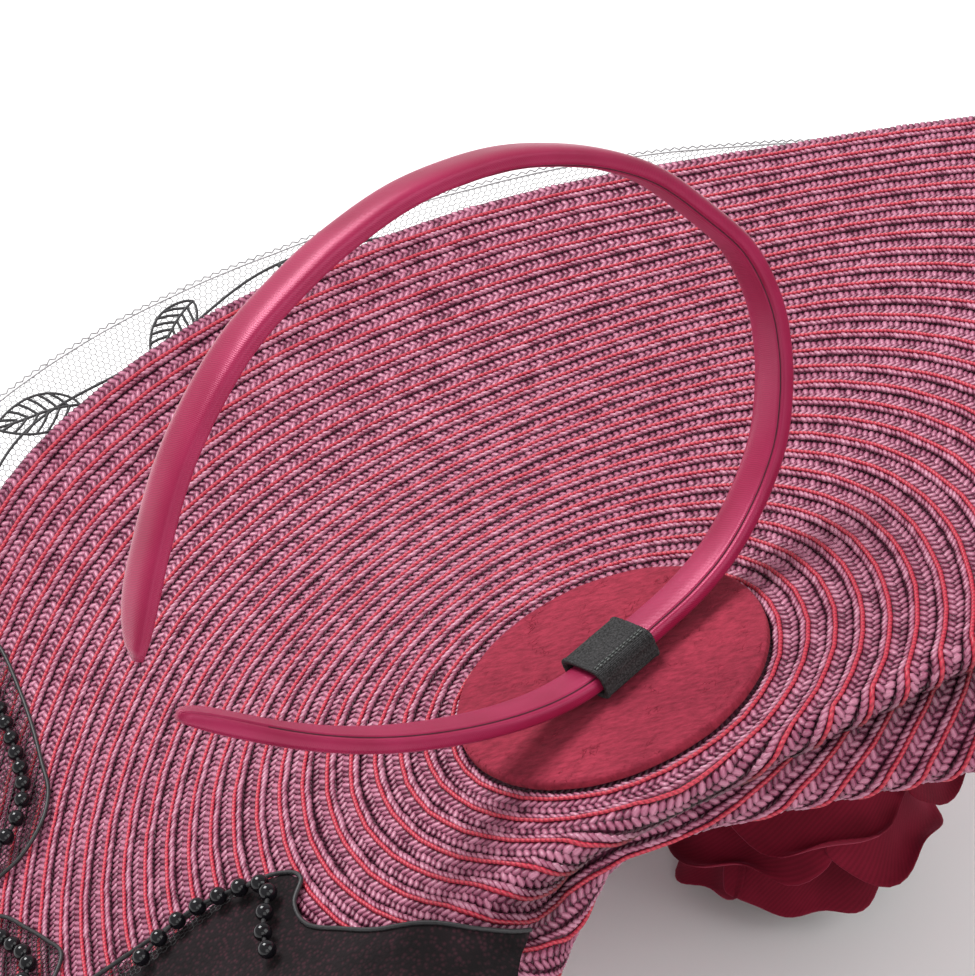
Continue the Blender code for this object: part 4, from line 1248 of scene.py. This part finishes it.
rose = {
    "gap": 0.0006, "petal": 0.0007, "columns": 13, "rows": 17,
    "widths": (0.55, 0.92, 1.0, 0.86),
    "core": ((0.30, 0.0), (0.36, 0.12), (0.38, 0.34), (0.38, 0.60), (0.32, 0.80), (0.13, 0.93)),
    # Count, first turn and half width in degrees, shares of radius and height, roll in degrees, tip share
    "rings": {
        "outer": (5, 36, 43, (0.30, 0.72, 0.96, 1.0), (0.10, 0.22, 0.44, 0.58), 215, 0.30),
        "middle": (4, 45, 50, (0.30, 0.64, 0.80, 0.84), (0.20, 0.40, 0.64, 0.80), 150, 0.26),
        "inner": (4, 0, 52, (0.30, 0.52, 0.60, 0.62), (0.36, 0.60, 0.84, 1.0), 60, 0.20),
    },
    # The petals' cut: their area over that of full bands, and the square's area over theirs
    "rollFrom": 0.80, "narrowing": 0.85, "waste": 1.25,
}
roses = {
    "rose_near": {"radius": 0.037, "height": 0.0622, "along": 0.045, "fromRim": 0.019, "hang": 0.6,
                  "rings": ("outer", "middle", "inner"), "roll": 1.0, "seed": 3, "slot": "velvet"},
    "rose_end": {"radius": 0.031, "height": 0.030, "turn": 13.0, "fromRim": 0.004,
                 "rings": ("outer", "inner"), "roll": 0.2, "seed": 9, "slot": "petal"},
}


def petalFinish(name, dark, light, sheenTint):
    finish, tree, shader = newFinish(name, 0.85, **{
        "Specular IOR Level": 0.15, "Sheen Weight": 0.35, "Sheen Roughness": 0.45,
        "Sheen Tint": (*sheenTint, 1.0)})
    place = put(tree, "ShaderNodeTexCoord")
    turned = put(tree, "ShaderNodeMapping", {"Rotation": (0, 0, 0.8)})
    twill = put(tree, "ShaderNodeTexWave", {"Scale": 14.0, "Distortion": 0.3})
    wire(tree, (place.outputs["UV"], turned.inputs["Vector"]), (turned.outputs[0], twill.inputs["Vector"]))
    base = colourRamp(tree, objectNoise(tree, 60.0, 3.0), ((0.3, dark), (0.75, light)))
    lines = colourRamp(tree, twill.outputs["Fac"], ((0.0, (0.86, 0.84, 0.86)), (1.0, (1.08, 1.06, 1.08))))
    paintProduct(tree, shader, base, lines)
    addBump(tree, shader, objectNoise(tree, 1400.0), 0.3, 0.0002)
    return finish


# A petal's chosen points from its foot to its edge, as distances out and along the rose's axis
def petalRun(look, radii, heights):
    return np.stack((np.array(radii) * look["radius"], np.array(heights) * look["height"]), axis=1)


# Rows of points for one petal in the rose's own frame, z down its axis
def petalPoints(look, ring, turn, random):
    _, _, halfWidth, radii, heights, roll, tip = rose["rings"][ring]
    columns, rows = rose["columns"], rose["rows"]
    u = np.linspace(-1, 1, columns)[None, :]
    v = np.linspace(0, 1, rows)[:, None] * (1.0 - tip * np.abs(u) ** 2.6)
    knots = np.linspace(0, 1, 4)
    base = curveThrough(petalRun(look, radii, heights), 60)
    length = np.linalg.norm(np.diff(base, axis=0), axis=1).sum()
    fine = np.linspace(0, 1, 61)
    slope = np.unwrap(np.arctan2(np.gradient(base[:, 1]), np.gradient(base[:, 0])))
    past = np.clip((fine - rose["rollFrom"]) / (1 - rose["rollFrom"]), 0, 1)
    slope = slope - np.radians(roll * look["roll"]) * random.uniform(0.85, 1.1) * past ** 1.3
    step = length / 60
    r = base[0, 0] + np.concatenate(([0.0], np.cumsum(np.cos(slope[:-1]) * step)))
    z = base[0, 1] + np.concatenate(([0.0], np.cumsum(np.sin(slope[:-1]) * step)))
    shift = random.uniform(-0.12, 0.12)
    narrow = np.interp(v, knots, rose["widths"])
    angle = turn + math.radians(halfWidth) * narrow * u
    out, depth = np.interp(v, fine, r), np.interp(v, fine, z)
    phases = random.uniform(0, 6.28, 3)
    ruffle = sum(np.sin(count * u + phase) for count, phase in zip((2.2, 4.1, 6.3), phases))
    out = out * (1 + 0.03 * u) + look["radius"] * (0.035 * ruffle * v ** 2 + 0.10 * np.abs(u) ** 4 * v)
    depth = depth + look["height"] * (0.02 * ruffle * v ** 2 + shift * 0.3 * u * v)
    return np.stack((out * np.cos(angle), out * np.sin(angle), depth + 0 * u), axis=2), u, v


def makeRose(name, seat, outward, axis, toward, finish):
    look = roses[name]
    side = unit(toward - axis * np.dot(toward, axis))
    frameAxes = np.stack((side, np.cross(axis, side), axis), axis=1)
    random = np.random.default_rng(look["seed"])
    parts = []
    for ring in look["rings"]:
        count, first = rose["rings"][ring][:2]
        for index in range(count):
            turn = math.radians(first + 360.0 * index / count + random.uniform(-6, 6))
            points, u, v = petalPoints(look, ring, turn, random)
            quads = gridFaces(rose["rows"], rose["columns"])
            uGrid, vGrid = np.broadcast_to(u, v.shape).ravel() * 0.5 + 0.5, v.ravel()
            uvs = np.stack((uGrid[quads], vGrid[quads]), axis=2)
            parts.append(((points.reshape(-1, 3) @ frameAxes.T) + seat, quads, uvs))
    points, quads, uvs = joinQuads(parts)
    mesh = quadMesh(name + "_petals", toWorld(points), quads, uvs)
    mesh.materials.append(finish)
    petals = linkMesh(name + "_petals", mesh)
    wall = petals.modifiers.new("wall", "SOLIDIFY")
    wall.thickness, wall.offset = rose["petal"], 0.0
    smooth = petals.modifiers.new("round", "SUBSURF")
    smooth.levels = smooth.render_levels = 1
    turns = 2 * math.pi * np.arange(28) / 28
    rings = []
    for index, (reach, depth) in enumerate(rose["core"]):
        centre = seat + (outward if index < 2 else axis) * (look["height"] * depth * 0.94)
        circle = np.stack((np.cos(turns), np.sin(turns), 0 * turns), axis=1) * (look["radius"] * reach * 0.9)
        circle[:, :2] *= (1 + 0.05 * np.cos(5 * turns + index))[:, None]
        rings.append(centre + circle @ frameAxes.T)
    coreMesh = tubeMesh(name + "_core", np.array(rings))
    coreMesh.materials.append(finish)
    core = linkMesh(name + "_core", coreMesh)
    soften = core.modifiers.new("round", "SUBSURF")
    soften.levels = soften.render_levels = 1
    dress((petals, core))
    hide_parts(name)
    for ring in look["rings"]:
        count, _, halfWidth, radii, heights = rose["rings"][ring][:5]


def makeRoses():
    clear = 0.5 * saucer["wall"] + rose["gap"]
    look = roses["rose_near"]
    s = look["along"]
    t = math.sqrt(saucer["radius"] ** 2 - s ** 2) - look["fromRim"]
    point, outward = strawPoint(s, t), strawNormal(s, t)
    toward = strawPoint(s, t + 0.0015) - point
    down = hatTurn.T @ np.array((0, 0, -1.0))
    axis = unit(outward * (1 - look["hang"]) + down * look["hang"])
    velvet = petalFinish("burgundy velvet", (0.095, 0.0025, 0.010), (0.18, 0.006, 0.022), (1.0, 0.15, 0.28))
    makeRose("rose_near", point + outward * clear, outward, axis, toward, velvet)
    look = roses["rose_end"]
    distance = saucer["radius"] - look["fromRim"]
    turn = -(math.radians(look["turn"]) + saucer["foldTurn"])
    s, t = distance * math.cos(turn), distance * math.sin(turn)
    point, outward = strawPoint(s, t), strawNormal(s, t)
    farther = (distance + 0.0015) / distance
    toward = strawPoint(s * farther, t * farther) - point
    bright = petalFinish("magenta petal", (0.40, 0.035, 0.100), (0.54, 0.080, 0.180), (1.0, 0.4, 0.6))
    makeRose("rose_end", point - outward * clear, -outward, -outward, toward, bright)


makeRoses()
print("roses made")

bpy.data.objects.remove(grain, do_unlink=True)

# Floor, light and camera

stage = {
    "floorSize": 4.0, "floorGrey": 0.90, "aim": (0, 0, 0.06),
    "sky": (1.0, 0.99, 0.985, 1.0), "skyPower": 0.55,
    # Name, place, size, power
    "lights": (("key", (-0.9, 0.7, 1.5), 0.8, 36.0), ("fill", (1.1, -0.6, 1.3), 1.2, 12.0),
               ("front", (0.1, -1.5, 0.9), 1.0, 5.0)),
}
view = {"lens": 96.0, "sensor": 36.0, "fromFelt": (-0.0250, -0.4058, 0.3523), "tilt": math.radians(53.0)}


def makeStage():
    half = 0.5 * stage["floorSize"]
    mesh = bpy.data.meshes.new("floor")
    corners = [(-half, -half, 0), (half, -half, 0), (half, half, 0), (-half, half, 0)]
    mesh.from_pydata(corners, [], [(0, 1, 2, 3)])
    floor = linkMesh("floor", mesh)
    finish, _, shader = newFinish("pale floor", 0.6)
    shader.inputs["Base Color"].default_value = (stage["floorGrey"],) * 3 + (1.0,)
    mesh.materials.append(finish)
    for name, place, size, power in stage["lights"]:
        light = bpy.data.lights.new(name, "AREA")
        light.energy, light.size = power, size
        lamp = bpy.data.objects.new(name, light)
        lamp.location = place
        lamp.rotation_euler = (Vector(stage["aim"]) - Vector(place)).to_track_quat("-Z", "Y").to_euler()
        scene.collection.objects.link(lamp)
    world = bpy.data.worlds.new("studio")
    world.use_nodes = True
    sky = world.node_tree.nodes["Background"]
    sky.inputs[0].default_value = stage["sky"]
    sky.inputs[1].default_value = stage["skyPower"]
    scene.world = world


def makeCamera():
    feltTop = toWorld(np.array((0, 0, feltMiddle + 0.5 * felt["thickness"])))
    camera = bpy.data.cameras.new("camera")
    camera.lens, camera.sensor_width = view["lens"], view["sensor"]
    camera.clip_start = 0.01
    seat = bpy.data.objects.new("camera", camera)
    seat.location = Vector(feltTop) + Vector(view["fromFelt"])
    seat.rotation_euler = (view["tilt"], 0, 0)
    scene.collection.objects.link(seat)
    scene.camera = seat
    scene.view_settings.view_transform = "Standard"


makeStage()
makeCamera()
print("stage, light and camera set")
